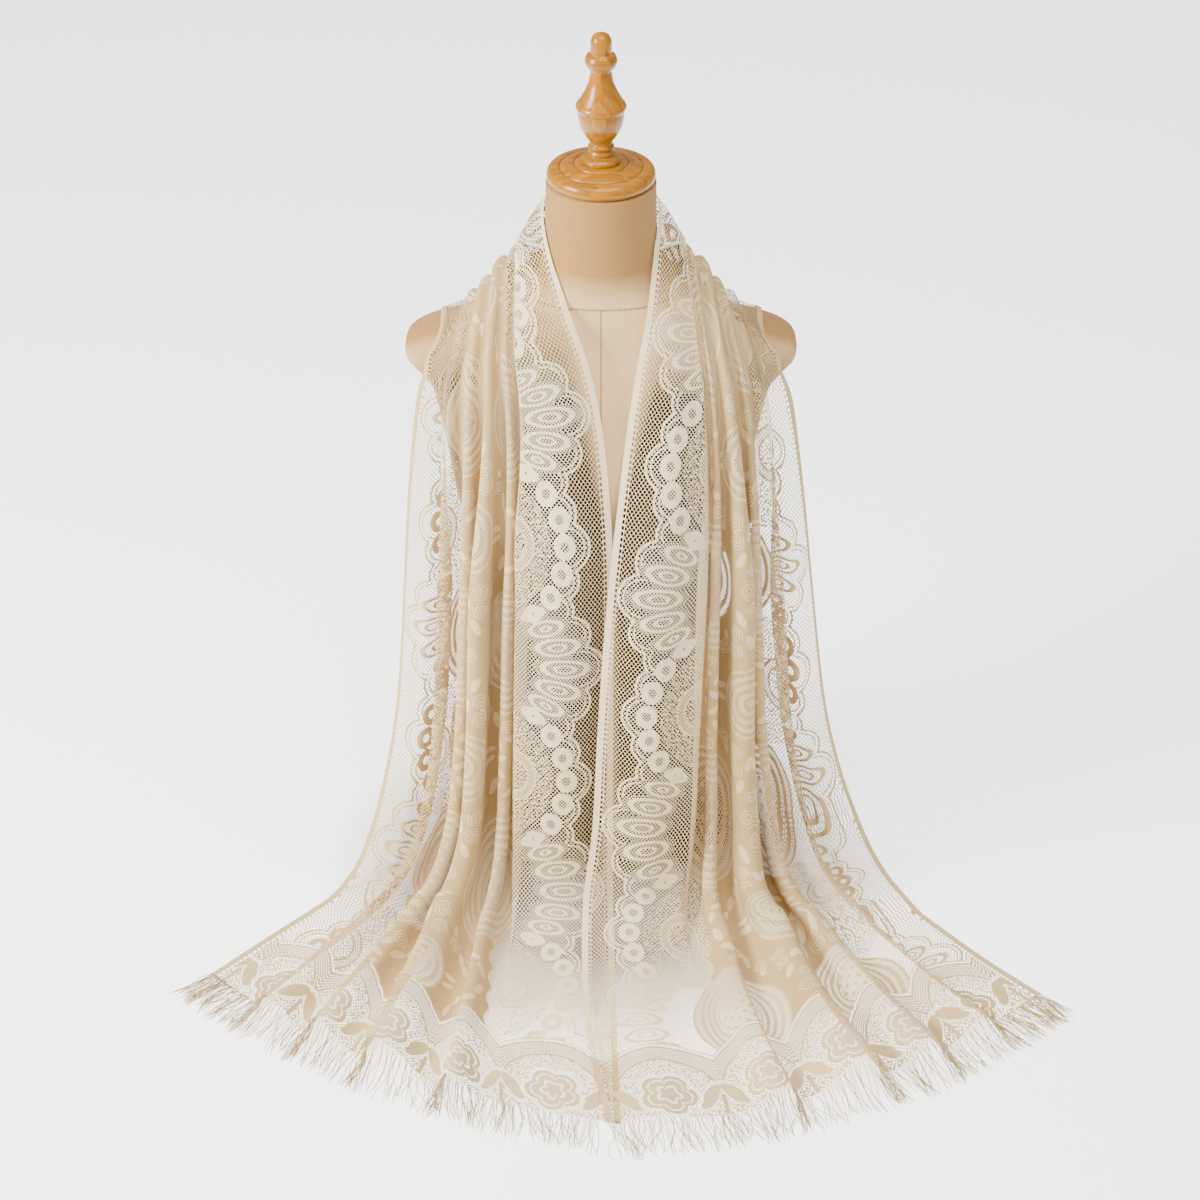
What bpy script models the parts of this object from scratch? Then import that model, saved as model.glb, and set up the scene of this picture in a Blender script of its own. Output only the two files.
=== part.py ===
"""A long lace shawl draped over a linen dress form with a turned neck cap.

Metres, +Z up. The origin is on the table, under the middle of the form. The
front of the form looks along -Y. The shawl is one length of cloth: it comes up
the left fall from its hem, goes round the back of the neck as a swag, and runs
down the right fall, whose inner edge laps over the left one.
"""

import bmesh
import bpy
import numpy as np

MM = 0.001

# The dress form: a limbless body of a general figure on a flat base
FORM_COLUMNS = ("height", "half_width", "front", "back", "squareness")
FORM_SECTIONS = (
    (0, 144, 101, 98, 2.3),
    (20, 152, 107, 106, 2.3),
    (90, 158, 111, 116, 2.3),
    (170, 146, 103, 106, 2.25),
    (230, 124, 91, 90, 2.2),
    (275, 114, 85, 80, 2.2),
    (320, 119, 91, 84, 2.2),
    (370, 132, 102, 96, 2.3),
    (415, 143, 110, 106, 2.4),
    (460, 150, 99, 112, 2.6),
    (500, 157, 84, 110, 2.9),
    (530, 164, 71, 103, 3.1),
    (548, 177, 63, 95, 3.2),
    (560, 188, 59, 91, 3.2),
    (567, 189, 57, 88, 3.1),
    (575, 171, 55, 85, 2.8),
    (581, 151, 54, 83, 2.6),
    (593, 134, 53, 80, 2.5),
    (608, 115, 53, 76, 2.4),
    (623, 96, 53, 73, 2.35),
    (636, 78, 54, 69, 2.3),
    (648, 65, 54, 66, 2.2),
    (662, 57, 54, 62, 2.1),
    (690, 53, 53, 57, 2.0),
    (738, 52, 52, 52, 2.0),
)
BUST = {"rise": 16 * MM, "apart": 72 * MM, "height": 412 * MM, "across": 44 * MM, "tall": 56 * MM}
FORM_SEGMENTS = 32
BASE_EDGE = 3 * MM

# Turned wood: radius and height above each piece's own foot, in millimetres
CAP_FOOT = 738.3 * MM
CAP_PROFILE = (
    (0, 0), (46.5, 0), (50, 2), (51.5, 6.5), (50, 11.5), (46, 14), (40.4, 14.6), (39.4, 13.6),
    (38.4, 14.9), (26.4, 18.4), (25.4, 17.6), (24.4, 18.9), (17, 20), (0, 20),
)
FINIAL_FOOT = CAP_FOOT + 20.3 * MM
FINIAL_PROFILE = (
    (0, 0), (18.5, 0), (18.6, 2), (16.5, 5), (12, 6.8), (12.3, 9), (10.9, 12), (12.3, 15.5), (10.3, 18.5),
    (15.5, 27), (19.7, 36), (21.7, 47), (21.6, 50), (22.6, 51.5), (23.8, 55), (20.5, 60.8), (14.4, 72),
    (11.4, 81), (10.1, 91), (13.4, 94.5), (15.2, 100), (13.4, 105.5), (10, 108), (10, 118), (7.2, 124.8),
    (0, 127.8),
)
WOOD_SEGMENTS = 22

# The cloth: material widths across it, from the inner edge to the outer one. Each fold goes
# down from the front of the cloth and comes up again; borders only ripple
WALL = 1.2 * MM
SEAM_GAP = 0.3 * MM
FORM_CLEARANCE = 1.0 * MM
FOLD_COLUMNS = ("down", "up", "sharpness", "lean")
BORDER = 96
OUTER_NET = 34
RIPPLE = 0.12
LEFT_FOLDS = (
    (60, 44, 1.00, 0.10),
    (40, 66, 0.92, -0.06),
    (72, 58, 1.04, 0.12),
    (46, 50, 0.90, -0.05),
    (44, 40, 0.86, 0.08),
)
RIGHT_FOLDS = (
    (58, 46, 1.00, -0.12),
    (44, 70, 0.95, 0.06),
    (76, 56, 1.05, -0.10),
    (44, 48, 0.88, 0.08),
    (42, 36, 0.86, -0.05),
)
LAP = {"rise": 5.5 * MM, "flat": 60, "ends": 104}
TABLE_LEAN = 0.5
FOLD_ROOM = 0.8
CLEARING_PASSES = 8
NEIGHBOURS = (((0, 0), (1, 0)), ((0, 0), (0, 1)), ((0, 0), (1, 1)), ((1, 0), (0, 1)))
CARRIER_STEPS = 48

# Rows across the cloth: its inner and outer edge, how the row bows between them, the folds'
# steepest angle in degrees and the outermost one's share of it, the borders' share of their
# width, how far the folds stand on the table, and their height against freely hanging ones
ROW_COLUMNS = (
    "inner_x", "inner_y", "inner_z", "outer_x", "outer_y", "outer_z",
    "bow_out", "bow_down", "steep", "outer_steep", "spread", "stand", "height",
)
LEFT_ROWS = (
    (18, -485, 0, -386, -263, 0, 34, 0, 72, 1.00, 1.00, 1.00, 0.66),
    (16, -375, 0, -337, -207, 0, 33, 0, 74, 1.00, 1.00, 1.00, 0.66),
    (14, -262, 0, -285, -149, 0, 27, 0, 82, 1.00, 1.00, 1.00, 0.70),
    (13, -190, 6, -256, -113, 14, 26, 0, 94, 1.00, 1.00, 0.80, 0.80),
    (12, -160, 48, -238, -92, 50, 28, 0, 102, 1.00, 1.00, 0.35, 0.95),
    (12, -151, 120, -222, -78, 108, 32, 0, 105, 1.00, 1.00, 0.05, 1.00),
    (12, -147, 247, -206, -66, 200, 36, 0, 106, 1.00, 1.00, 0.00, 1.00),
    (12, -143, 392, -196, -57, 322, 38, 0, 102, 1.00, 0.98, 0.00, 0.95),
    (-1, -88, 544, -187, -48, 450, 32, 0, 82, 0.80, 0.84, 0.00, 0.90),
    (-34, -52, 640, -174, -46, 545, 12, 6, 68, 0.50, 0.62, 0.00, 0.80),
)
SHOULDER_ROWS = (
    (-54, 8, 708, -156, -6, 583, 0, 6, 66, 0.40, 0.48, 0.00, 0.80),
    (-51, 32, 711, -154, 79, 560, 0, 12, 66, 0.45, 0.55, 0.00, 0.80),
    (-36, 55, 714, -112, 116, 470, 8, 4, 66, 0.70, 0.68, 0.00, 0.90),
    (0, 67, 716, 0, 136, 408, 12, 0, 66, 0.85, 0.80, 0.00, 1.00),
    (36, 55, 714, 112, 116, 470, 8, 4, 66, 0.70, 0.68, 0.00, 0.90),
    (51, 32, 711, 154, 79, 560, 0, 12, 66, 0.45, 0.55, 0.00, 0.80),
    (54, 8, 708, 157, -6, 580, 0, 6, 66, 0.40, 0.48, 0.00, 0.80),
)
RIGHT_ROWS = (
    (44, -56, 635, 181, -47, 541, 12, 6, 68, 0.50, 0.62, 0.00, 0.80),
    (27, -91, 536, 196, -48, 449, 32, 0, 82, 0.80, 0.84, 0.00, 0.90),
    (8, -152, 392, 211, -53, 318, 38, 0, 102, 1.00, 0.98, 0.00, 0.95),
    (-2, -159, 234, 228, -66, 188, 38, 0, 106, 1.00, 1.00, 0.00, 1.00),
    (-8, -163, 107, 255, -82, 88, 34, 0, 105, 1.00, 1.00, 0.05, 1.00),
    (-16, -173, 38, 279, -116, 42, 30, 0, 102, 1.00, 1.00, 0.35, 0.95),
    (-19, -212, 6, 305, -140, 12, 28, 0, 94, 1.00, 1.00, 0.80, 0.80),
    (-19, -280, 0, 334, -177, 0, 30, 0, 82, 1.00, 1.00, 1.00, 0.70),
    (-11, -385, 0, 381, -237, 0, 38, 0, 74, 1.00, 1.00, 1.00, 0.66),
    (5, -487, 0, 431, -293, 0, 44, 0, 72, 1.00, 1.00, 1.00, 0.66),
)
FALL_PLACES = (
    0, 0.7, 1.4, 2, 2.5, 2.9, 3.2, 3.5, 3.8, 4.2, 5, 6, 6.7, 7.2, 7.6, 8, 8.3, 8.6, 8.9, 9.2, 9.5, 9.75, 10,
)
BACK_STEPS = 11
STEPS_A_FOLD = 4
STEPS_A_BORDER = 2

# The fringe: a narrow strip along each hem and locks of loose threads
FRINGE_LOCKS = 60
FRINGE = {"gap": 0.6 * MM, "strip": 4 * MM, "length": 42 * MM, "root": 1.5 * MM, "tip": 0.6 * MM,
          "lowest": 0.5 * MM, "left_start": 0.5, "shortest": 0.8, "longest": 1.08, "swing": 0.03,
          "bend": 0.3, "droop": 1.5}
FRINGE_SEED = 7

LINEN = ((0.68, 0.57, 0.42), 0.9)
HONEY_WOOD = ((0.60, 0.31, 0.10), 0.3)
IVORY_LACE = ((0.78, 0.70, 0.58), 0.85)


def columns(rows, names):
    """A table's columns by name, as arrays."""
    return dict(zip(names, np.array(rows, float).T))


def smooth_lookup(x, xs, ys):
    """A curve through the table's points that never overshoots between them."""
    xs, ys, x = np.asarray(xs, float), np.asarray(ys, float), np.asarray(x, float)
    rise = np.diff(ys) / np.diff(xs)
    slope = np.empty_like(ys)
    slope[0], slope[-1] = rise[0], rise[-1]
    before, after = rise[:-1], rise[1:]
    same_way = before * after > 0
    total = np.where(same_way, before + after, 1.0)
    slope[1:-1] = np.where(same_way, 2 * before * after / total, 0.0)
    i = np.clip(np.searchsorted(xs, x) - 1, 0, len(xs) - 2)
    width = xs[i + 1] - xs[i]
    t = np.clip((x - xs[i]) / width, 0, 1)
    return (
        ys[i] * (1 + 2 * t) * (1 - t) ** 2 + ys[i + 1] * t * t * (3 - 2 * t)
        + width * (slope[i] * t * (1 - t) ** 2 - slope[i + 1] * t * t * (1 - t))
    )


FORM = columns(FORM_SECTIONS, FORM_COLUMNS)


def form_radius(angle, z):
    """Distance from the form's axis to its surface, bust included."""
    across = np.abs(np.cos(angle))
    along = np.sin(angle)
    height = z / MM
    half_width = smooth_lookup(height, FORM["height"], FORM["half_width"]) * MM
    front = smooth_lookup(height, FORM["height"], FORM["front"]) * MM
    back = smooth_lookup(height, FORM["height"], FORM["back"]) * MM
    power = smooth_lookup(height, FORM["height"], FORM["squareness"])
    depth = np.where(along < 0, front, back)
    radius = ((across / half_width) ** power + (np.abs(along) / depth) ** power) ** (-1 / power)
    off_centre = (radius * across - BUST["apart"]) / BUST["across"]
    off_height = (z - BUST["height"]) / BUST["tall"]
    rise = BUST["rise"] * np.exp(-(off_centre ** 2) - off_height ** 2)
    return radius + rise * np.clip(-along, 0, 1)


def shortfall(points, clearance):
    """How far each point is short of the clearance from the form, and the way out."""
    step = 0.5 * MM
    x, y, z = points[..., 0], points[..., 1], points[..., 2]
    angle = np.arctan2(y, x)
    radius = np.hypot(x, y)
    turn = step / radius
    by_height = (form_radius(angle, z + step) - form_radius(angle, z - step)) / (2 * step)
    by_angle = (form_radius(angle + turn, z) - form_radius(angle - turn, z)) / (2 * step)
    way = np.stack((
        np.cos(angle) + by_angle * np.sin(angle), np.sin(angle) - by_angle * np.cos(angle), -by_height,
    ), -1)
    steepness = np.sqrt(1 + by_height ** 2 + by_angle ** 2)
    short = np.clip(clearance - (radius - form_radius(angle, z)) / steepness, 0, None)
    return short, way / steepness[..., None]


def push_clear(points, clearance):
    """Moves a grid of points out, until they and the middles between them clear the form."""
    clearance = np.broadcast_to(clearance, points.shape[:2])
    high, wide = clearance.shape
    spans = []
    for ends in NEIGHBOURS:
        rows, steps = np.max(ends, 0)
        spans.append([(slice(i, high - rows + i), slice(j, wide - steps + j)) for i, j in ends])
    for _ in range(CLEARING_PASSES):
        short, way = shortfall(points, clearance)
        for one, other in spans:
            middle = (points[one] + points[other]) / 2
            between = shortfall(middle, (clearance[one] + clearance[other]) / 2)[0]
            short[one] = np.maximum(short[one], between)
            short[other] = np.maximum(short[other], between)
        points = points + short[..., None] * way
    return points


def material_layout(folds):
    """Every half fold across the cloth: where it starts, how sharply it turns, its lean."""
    table = columns(folds, FOLD_COLUMNS)
    halves = np.stack((table["down"], table["up"]), -1).ravel()
    widths = np.concatenate(([BORDER / 2] * 2, halves, [OUTER_NET / 2] * 2))
    down_up = np.tile((-1, 1), len(folds)) * np.repeat(table["sharpness"], 2)
    turns = np.concatenate(((RIPPLE, -RIPPLE), down_up, (RIPPLE, -RIPPLE)))
    lean = np.concatenate(((0, 0), np.repeat(table["lean"], 2), (0, 0)))
    return np.concatenate(([0], np.cumsum(widths))), turns, lean


LEFT_LAYOUT = material_layout(LEFT_FOLDS)
RIGHT_LAYOUT = material_layout(RIGHT_FOLDS)
HALVES = len(LEFT_LAYOUT[1])
FIRST_FOLD = 2
LAST_FOLD = HALVES - 2


def edge_steps(a_fold, a_border):
    """Steps across the cloth, counted in half folds, the same for every row."""
    steps = []
    for half in range(HALVES):
        parts = a_fold if FIRST_FOLD <= half < LAST_FOLD else a_border
        steps += [half + k / parts for k in range(parts)]
    return np.array(steps + [HALVES])


def fold_profile(across, side, row, reach):
    """How far along its row (0 to 1) and how far off it each point of the cloth lies.

    Each half fold turns through a sine of the way along it, the line that a bent strip takes.
    side is 0 on the left fall and 1 on the right one. The folds take in as much cloth as the
    row's reach leaves at their steepness.
    """
    fine = np.linspace(0, HALVES, 24 * HALVES + 1)
    edges, turns, lean = ((1 - side) * a + side * b for a, b in zip(LEFT_LAYOUT, RIGHT_LAYOUT))
    half = np.clip(fine.astype(int), 0, HALVES - 1)
    outward = np.clip((fine - FIRST_FOLD) / (LAST_FOLD - FIRST_FOLD), 0, 1)
    folding = np.clip(np.minimum(fine - FIRST_FOLD, LAST_FOLD - fine), 0, 1)
    steep = np.radians(row["steep"]) * (1 + (row["outer_steep"] - 1) * outward)
    heading = np.sin(np.pi * (fine - half)) * turns[half] * steep
    heading = (heading[1:] + heading[:-1]) / 2
    width = np.diff(np.interp(fine, np.arange(HALVES + 1), edges)) * MM
    folded = (half[:-1] >= FIRST_FOLD) & (half[:-1] < LAST_FOLD)
    flat_run = np.sum((width * np.cos(heading))[~folded]) * row["spread"]
    fold_run = np.sum((width * np.cos(heading))[folded])
    width *= np.where(folded, (reach - flat_run) / fold_run, row["spread"])
    along = np.concatenate(([0], np.cumsum(width * np.cos(heading))))
    off = np.concatenate(([0], np.cumsum(width * np.sin(heading))))
    start, end = fine.searchsorted(FIRST_FOLD), fine.searchsorted(LAST_FOLD)
    off -= (off[end] - off[start]) * outward
    valleys = np.arange(FIRST_FOLD + 1, LAST_FOLD, 2)
    nodes = np.concatenate(([0, FIRST_FOLD], valleys, [LAST_FOLD, HALVES]))
    depth = np.interp(nodes, fine, off)
    depth[[0, 1, -2, -1]] = 0
    place = np.clip(np.searchsorted(nodes, fine) - 1, 0, len(nodes) - 2)
    part = (fine - nodes[place]) / (nodes[place + 1] - nodes[place])
    ease = (1 - np.cos(np.pi * part)) / 2
    floor = depth[place] * (1 - ease) + depth[place + 1] * ease
    off = row["height"] * (off - row["stand"] * floor)
    tilt = np.interp(fine, np.arange(HALVES) + 0.5, lean) + TABLE_LEAN * row["stand"] * folding
    along = along / along[-1] + tilt * off / reach
    material = np.interp(across, np.arange(HALVES + 1), edges)
    depth = np.interp(np.linspace(0, 1, CARRIER_STEPS + 1), along, -row["height"] * floor)
    return np.interp(across, fine, along), np.interp(across, fine, off), material, depth


ROWS = columns(LEFT_ROWS + SHOULDER_ROWS + RIGHT_ROWS, ROW_COLUMNS)
LEFT_END = float(len(LEFT_ROWS))
RIGHT_START = float(len(LEFT_ROWS) + len(SHOULDER_ROWS) - 1)
LAST_ROW = float(len(ROWS["inner_x"]) - 1)


def row_values(rows):
    """Every column of the row table at the given places along the shawl."""
    numbers = np.arange(LAST_ROW + 1)
    return {name: smooth_lookup(rows, numbers, values) for name, values in ROWS.items()}


def carrier_grid(rows):
    """The smooth sheet that the folds ride on: points and outward normals."""
    value = row_values(rows)
    inner = np.stack([value["inner_" + axis] for axis in "xyz"], -1) * MM
    outer = np.stack([value["outer_" + axis] for axis in "xyz"], -1) * MM
    chord = (outer - inner)[:, :2]
    across = np.stack((-chord[:, 1], chord[:, 0]), -1)
    across /= np.linalg.norm(across, axis=1)[:, None]
    middle = (inner + outer) / 2
    away = np.sign(np.sum(across * middle[:, :2], -1))[:, None]
    middle[:, :2] += across * away * value["bow_out"][:, None] * MM
    middle[:, 2] -= value["bow_down"] * MM
    fine = np.linspace(0, 1, 4 * CARRIER_STEPS + 1)[None, :, None]
    curve = (
        inner[:, None] * (1 - fine) * (1 - 2 * fine) + middle[:, None] * 4 * fine * (1 - fine)
        + outer[:, None] * fine * (2 * fine - 1)
    )
    lengths = np.linalg.norm(np.diff(curve, axis=1), axis=2)
    run = np.concatenate((np.zeros((len(rows), 1)), np.cumsum(lengths, 1)), 1)
    even = np.linspace(0, 1, CARRIER_STEPS + 1)
    grid = np.empty((len(rows), CARRIER_STEPS + 1, 3))
    for r in range(len(rows)):
        for axis in range(3):
            grid[r, :, axis] = np.interp(even * run[r, -1], run[r], curve[r, :, axis])
    return grid, run[:, -1], value


def grid_normals(grid):
    """Unit normals of a grid of points, on the side that faces away from the form."""
    by_row = np.gradient(grid, axis=0)
    by_step = np.gradient(grid, axis=1)
    normal = np.cross(by_row, by_step)
    return normal / np.linalg.norm(normal, axis=2)[..., None]


def drape(rows, across):
    """The middle of the cloth at each row and step, with its normals."""
    grid, reach, value = carrier_grid(rows)
    side = np.clip((rows - LEFT_END) / (RIGHT_START - LEFT_END), 0, 1)
    profiles = []
    for r in range(len(rows)):
        row = {name: values[r] for name, values in value.items()}
        profiles.append(fold_profile(across, side[r], row, reach[r]))
    room = FOLD_ROOM * np.array([depth for _, _, _, depth in profiles])
    grid = push_clear(grid, FORM_CLEARANCE + WALL / 2 + room)
    normals = grid_normals(grid)
    even = np.linspace(0, 1, CARRIER_STEPS + 1)
    cloth = np.empty((len(rows), len(across), 3))
    for r, (along, off, width, _) in enumerate(profiles):
        lap_share = 1 - np.clip((width - LAP["flat"]) / (LAP["ends"] - LAP["flat"]), 0, 1)
        off = off + LAP["rise"] * lap_share * np.clip(rows[r] - RIGHT_START - 1, 0, 1)
        for axis in range(3):
            base = np.interp(along, even, grid[r, :, axis])
            cloth[r, :, axis] = base + np.interp(along, even, normals[r, :, axis]) * off
    cloth = push_clear(cloth, FORM_CLEARANCE + WALL / 2)
    cloth[..., 2] = np.maximum(cloth[..., 2], WALL / 2)
    return cloth, grid_normals(cloth)


def material(name, finish):
    """A plain Principled finish: colour and roughness."""
    colour, roughness = finish
    made = bpy.data.materials.new(name)
    made.use_nodes = True
    shader = made.node_tree.nodes["Principled BSDF"]
    shader.inputs["Base Color"].default_value = (*colour, 1)
    shader.inputs["Roughness"].default_value = roughness
    shader.inputs["Metallic"].default_value = 0
    return made


def add_object(name, bm, finish, smooth_angle=None):
    """Turns a bmesh into a named object, faces outward, with its material."""
    bmesh.ops.recalc_face_normals(bm, faces=bm.faces)
    mesh = bpy.data.meshes.new(name)
    bm.to_mesh(mesh)
    bm.free()
    mesh.materials.append(finish)
    if smooth_angle is not None:
        mesh.shade_smooth()
        mesh.set_sharp_from_angle(angle=smooth_angle)
    made = bpy.data.objects.new(name, mesh)
    bpy.context.scene.collection.objects.link(made)
    return made


def build_form(finish):
    """The body: rings through its sections, closed by its flat base and neck top."""
    heights = np.concatenate((
        [0, 4, 20, 55, 90, 130, 170, 205, 240, 275, 310, 345, 380, 400, 425, 450, 480, 510],
        [532, 548, 560, 567, 576, 586, 598, 611, 624, 637, 650, 664, 690, 738],
    )) * MM
    angles = np.linspace(0, 2 * np.pi, FORM_SEGMENTS, endpoint=False)
    bm = bmesh.new()
    rings = []
    for height in heights:
        radius = form_radius(angles, np.full(FORM_SEGMENTS, height))
        if height == 0:
            radius = radius - BASE_EDGE
        ring = [
            bm.verts.new((r * np.cos(a), r * np.sin(a), height)) for r, a in zip(radius, angles)
        ]
        rings.append(ring)
    for low, high in zip(rings, rings[1:]):
        for k in range(FORM_SEGMENTS):
            n = (k + 1) % FORM_SEGMENTS
            bm.faces.new((low[k], low[n], high[n], high[k]))
    bm.faces.new(rings[0][::-1])
    bm.faces.new(rings[-1])
    return add_object("form_torso", bm, finish, 0.7)


def build_turned(name, profile, foot, finish):
    """A turned piece: its outline spun once round the form's axis."""
    bm = bmesh.new()
    outline = [bm.verts.new((radius * MM, 0, height * MM + foot)) for radius, height in profile]
    edges = [bm.edges.new(pair) for pair in zip(outline, outline[1:])]
    bmesh.ops.spin(
        bm, geom=outline + edges, cent=(0, 0, 0), axis=(0, 0, 1), angle=2 * np.pi,
        steps=WOOD_SEGMENTS, use_merge=True,
    )
    bmesh.ops.remove_doubles(bm, verts=bm.verts, dist=0.01 * MM)
    return add_object(name, bm, finish, 0.9)


def build_wall(name, middle, normals, finish):
    """A closed wall of cloth round a grid of middle points."""
    front = middle + normals * (WALL / 2)
    behind = middle - normals * (WALL / 2)
    behind[..., 2] = np.maximum(behind[..., 2], 0)
    bm = bmesh.new()
    rows, steps = middle.shape[:2]
    over = [[bm.verts.new(p) for p in row] for row in front]
    under = [[bm.verts.new(p) for p in row] for row in behind]
    for r in range(rows - 1):
        for k in range(steps - 1):
            bm.faces.new((over[r][k], over[r][k + 1], over[r + 1][k + 1], over[r + 1][k]))
            bm.faces.new((under[r][k], under[r + 1][k], under[r + 1][k + 1], under[r][k + 1]))
    for r in range(rows - 1):
        bm.faces.new((over[r][0], over[r + 1][0], under[r + 1][0], under[r][0]))
        bm.faces.new((over[r][-1], under[r][-1], under[r + 1][-1], over[r + 1][-1]))
    for k in range(steps - 1):
        bm.faces.new((over[0][k], under[0][k], under[0][k + 1], over[0][k + 1]))
        bm.faces.new((over[-1][k], over[-1][k + 1], under[-1][k + 1], under[-1][k]))
    return add_object(name, bm, finish, 1.0)


def shortened(middle, first, last):
    """The same rows, with the first or last one drawn back by half the seam gap."""
    middle = middle.copy()
    for wanted, end, inside in ((first, 0, 1), (last, -1, -2)):
        if wanted:
            way = middle[inside] - middle[end]
            way /= np.linalg.norm(way, axis=1)[:, None]
            middle[end] += way * SEAM_GAP / 2
    return middle


def build_scarf(finish):
    """The three stretches of the shawl that show, cut from one drape."""
    across = edge_steps(STEPS_A_FOLD, STEPS_A_BORDER)
    left = np.array(FALL_PLACES, float)
    back = np.linspace(LEFT_END, RIGHT_START, BACK_STEPS + 1)
    right = LAST_ROW - left[::-1]
    rows = np.concatenate((left, back[1:], right[1:]))
    middle, normals = drape(rows, across)
    ends = (0, len(left) - 1, len(left) - 1 + BACK_STEPS, len(rows) - 1)
    stretches = (("left_fall", False, True), ("neck_wrap", True, True), ("right_fall", True, False))
    for (name, first, last), start, end in zip(stretches, ends, ends[1:]):
        part = slice(start, end + 1)
        build_wall(name, shortened(middle[part], first, last), normals[part], finish)


def build_fringe(name, hem_row, inside_row, start, finish):
    """A strip along one hem with its locks of thread, as a single closed piece."""
    draw = np.random.default_rng(FRINGE_SEED)
    across = np.linspace(start, HALVES, FRINGE_LOCKS + 1)
    rows = np.array(sorted((hem_row, inside_row)))
    middle, normals = drape(rows, across)
    ends = (0, 1) if hem_row < inside_row else (1, 0)
    hem, inside, faces = middle[ends[0]], middle[ends[1]], normals[ends[0]]
    out = hem - inside
    out[:, 2] = 0
    out /= np.linalg.norm(out, axis=1)[:, None]
    bm = bmesh.new()
    sections = []
    for point, way, normal in zip(hem, out, faces):
        near = point + way * FRINGE["gap"]
        far = near + way * FRINGE["strip"]
        off = normal * WALL / 2
        corners = np.array((near - off, far - off, far + off, near + off))
        corners[:, 2] = np.maximum(corners[:, 2], 0)
        sections.append([bm.verts.new(p) for p in corners])
    for here, there in zip(sections, sections[1:]):
        for k in (0, 2, 3):
            n = (k + 1) % 4
            bm.faces.new((here[k], here[n], there[n], there[k]))
    bm.faces.new(sections[0][::-1])
    bm.faces.new(sections[-1])
    for k, (here, there) in enumerate(zip(sections, sections[1:])):
        root = [here[1], there[1], there[2], here[2]]
        way = out[k] + out[k + 1]
        way /= np.linalg.norm(way)
        centre = sum((np.array(v.co) for v in root), np.zeros(3)) / 4
        length = FRINGE["length"] * draw.uniform(FRINGE["shortest"], FRINGE["longest"])
        swing = draw.uniform(-FRINGE["swing"], FRINGE["swing"])
        along = np.array(there[1].co) - np.array(here[1].co)
        along /= np.linalg.norm(along)
        up = (faces[k] + faces[k + 1]) / 2
        sideways = np.array([-way[1], way[0], 0])
        last = root
        for share, size in ((FRINGE["bend"], FRINGE["root"]), (1.0, FRINGE["tip"])):
            place = centre + (way + sideways * swing) * length * share
            lowest = FRINGE["lowest"] + size
            place[2] = max(centre[2] * (1 - share ** FRINGE["droop"]), lowest)
            corners = (-along - up, along - up, along + up, up - along)
            ring = [bm.verts.new(place + c * size / 2) for c in corners]
            for j in range(4):
                n = (j + 1) % 4
                bm.faces.new((last[j], last[n], ring[n], ring[j]))
            last = ring
        bm.faces.new(last)
    return add_object(name, bm, finish)


def main():
    for old in list(bpy.data.objects):
        bpy.data.objects.remove(old, do_unlink=True)
    linen = material("linen", LINEN)
    wood = material("honey_wood", HONEY_WOOD)
    lace = material("ivory_lace", IVORY_LACE)
    build_form(linen)
    build_turned("neck_cap", CAP_PROFILE, CAP_FOOT, wood)
    build_turned("finial", FINIAL_PROFILE, FINIAL_FOOT, wood)
    build_scarf(lace)
    build_fringe("left_fringe", 0.0, 0.3, FRINGE["left_start"], lace)
    build_fringe("right_fringe", LAST_ROW, LAST_ROW - 0.3, 0.0, lace)


main()
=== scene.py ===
# %% [markdown]
# # A lace shawl on a dress form
#
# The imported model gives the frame: a linen form, a turned cap and finial, and one long shawl in
# three stretches. This script dresses it. The cloth is laid again at fine steps on the same folds
# as its solids, and carries its own flat-cut coordinates, so that the lace can be drawn on it.
# Lengths in the tables are in millimetres, and MM turns them into Blender's metres.

import bpy
import numpy as np
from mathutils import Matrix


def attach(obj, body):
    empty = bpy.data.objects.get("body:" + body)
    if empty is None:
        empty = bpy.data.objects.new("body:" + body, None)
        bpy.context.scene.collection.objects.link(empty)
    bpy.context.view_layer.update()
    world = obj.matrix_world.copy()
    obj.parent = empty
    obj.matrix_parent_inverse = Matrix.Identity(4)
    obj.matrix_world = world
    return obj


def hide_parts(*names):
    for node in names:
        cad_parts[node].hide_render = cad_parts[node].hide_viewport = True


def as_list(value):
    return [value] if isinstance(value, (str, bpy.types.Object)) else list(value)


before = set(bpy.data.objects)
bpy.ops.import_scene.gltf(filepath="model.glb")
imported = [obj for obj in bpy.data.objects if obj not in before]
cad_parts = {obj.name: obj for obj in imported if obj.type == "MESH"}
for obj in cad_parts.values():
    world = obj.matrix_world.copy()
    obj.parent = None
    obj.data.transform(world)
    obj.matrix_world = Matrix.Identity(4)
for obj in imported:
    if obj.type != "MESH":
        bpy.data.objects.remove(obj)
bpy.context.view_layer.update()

MM = 0.001
bpy.ops.object.select_all(action="DESELECT")
print("nodes:", sorted(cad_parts))

# %% [markdown]
# ## The form and its wood, in numbers
#
# A dress form is a padded body under tight linen, with a wooden cap and finial turned on a lathe.
# It could be sculpted, but tables of sections and outlines give the same shape each time, and they
# are the solids' own, so the dressed pieces stand exactly where the solids do.

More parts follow.
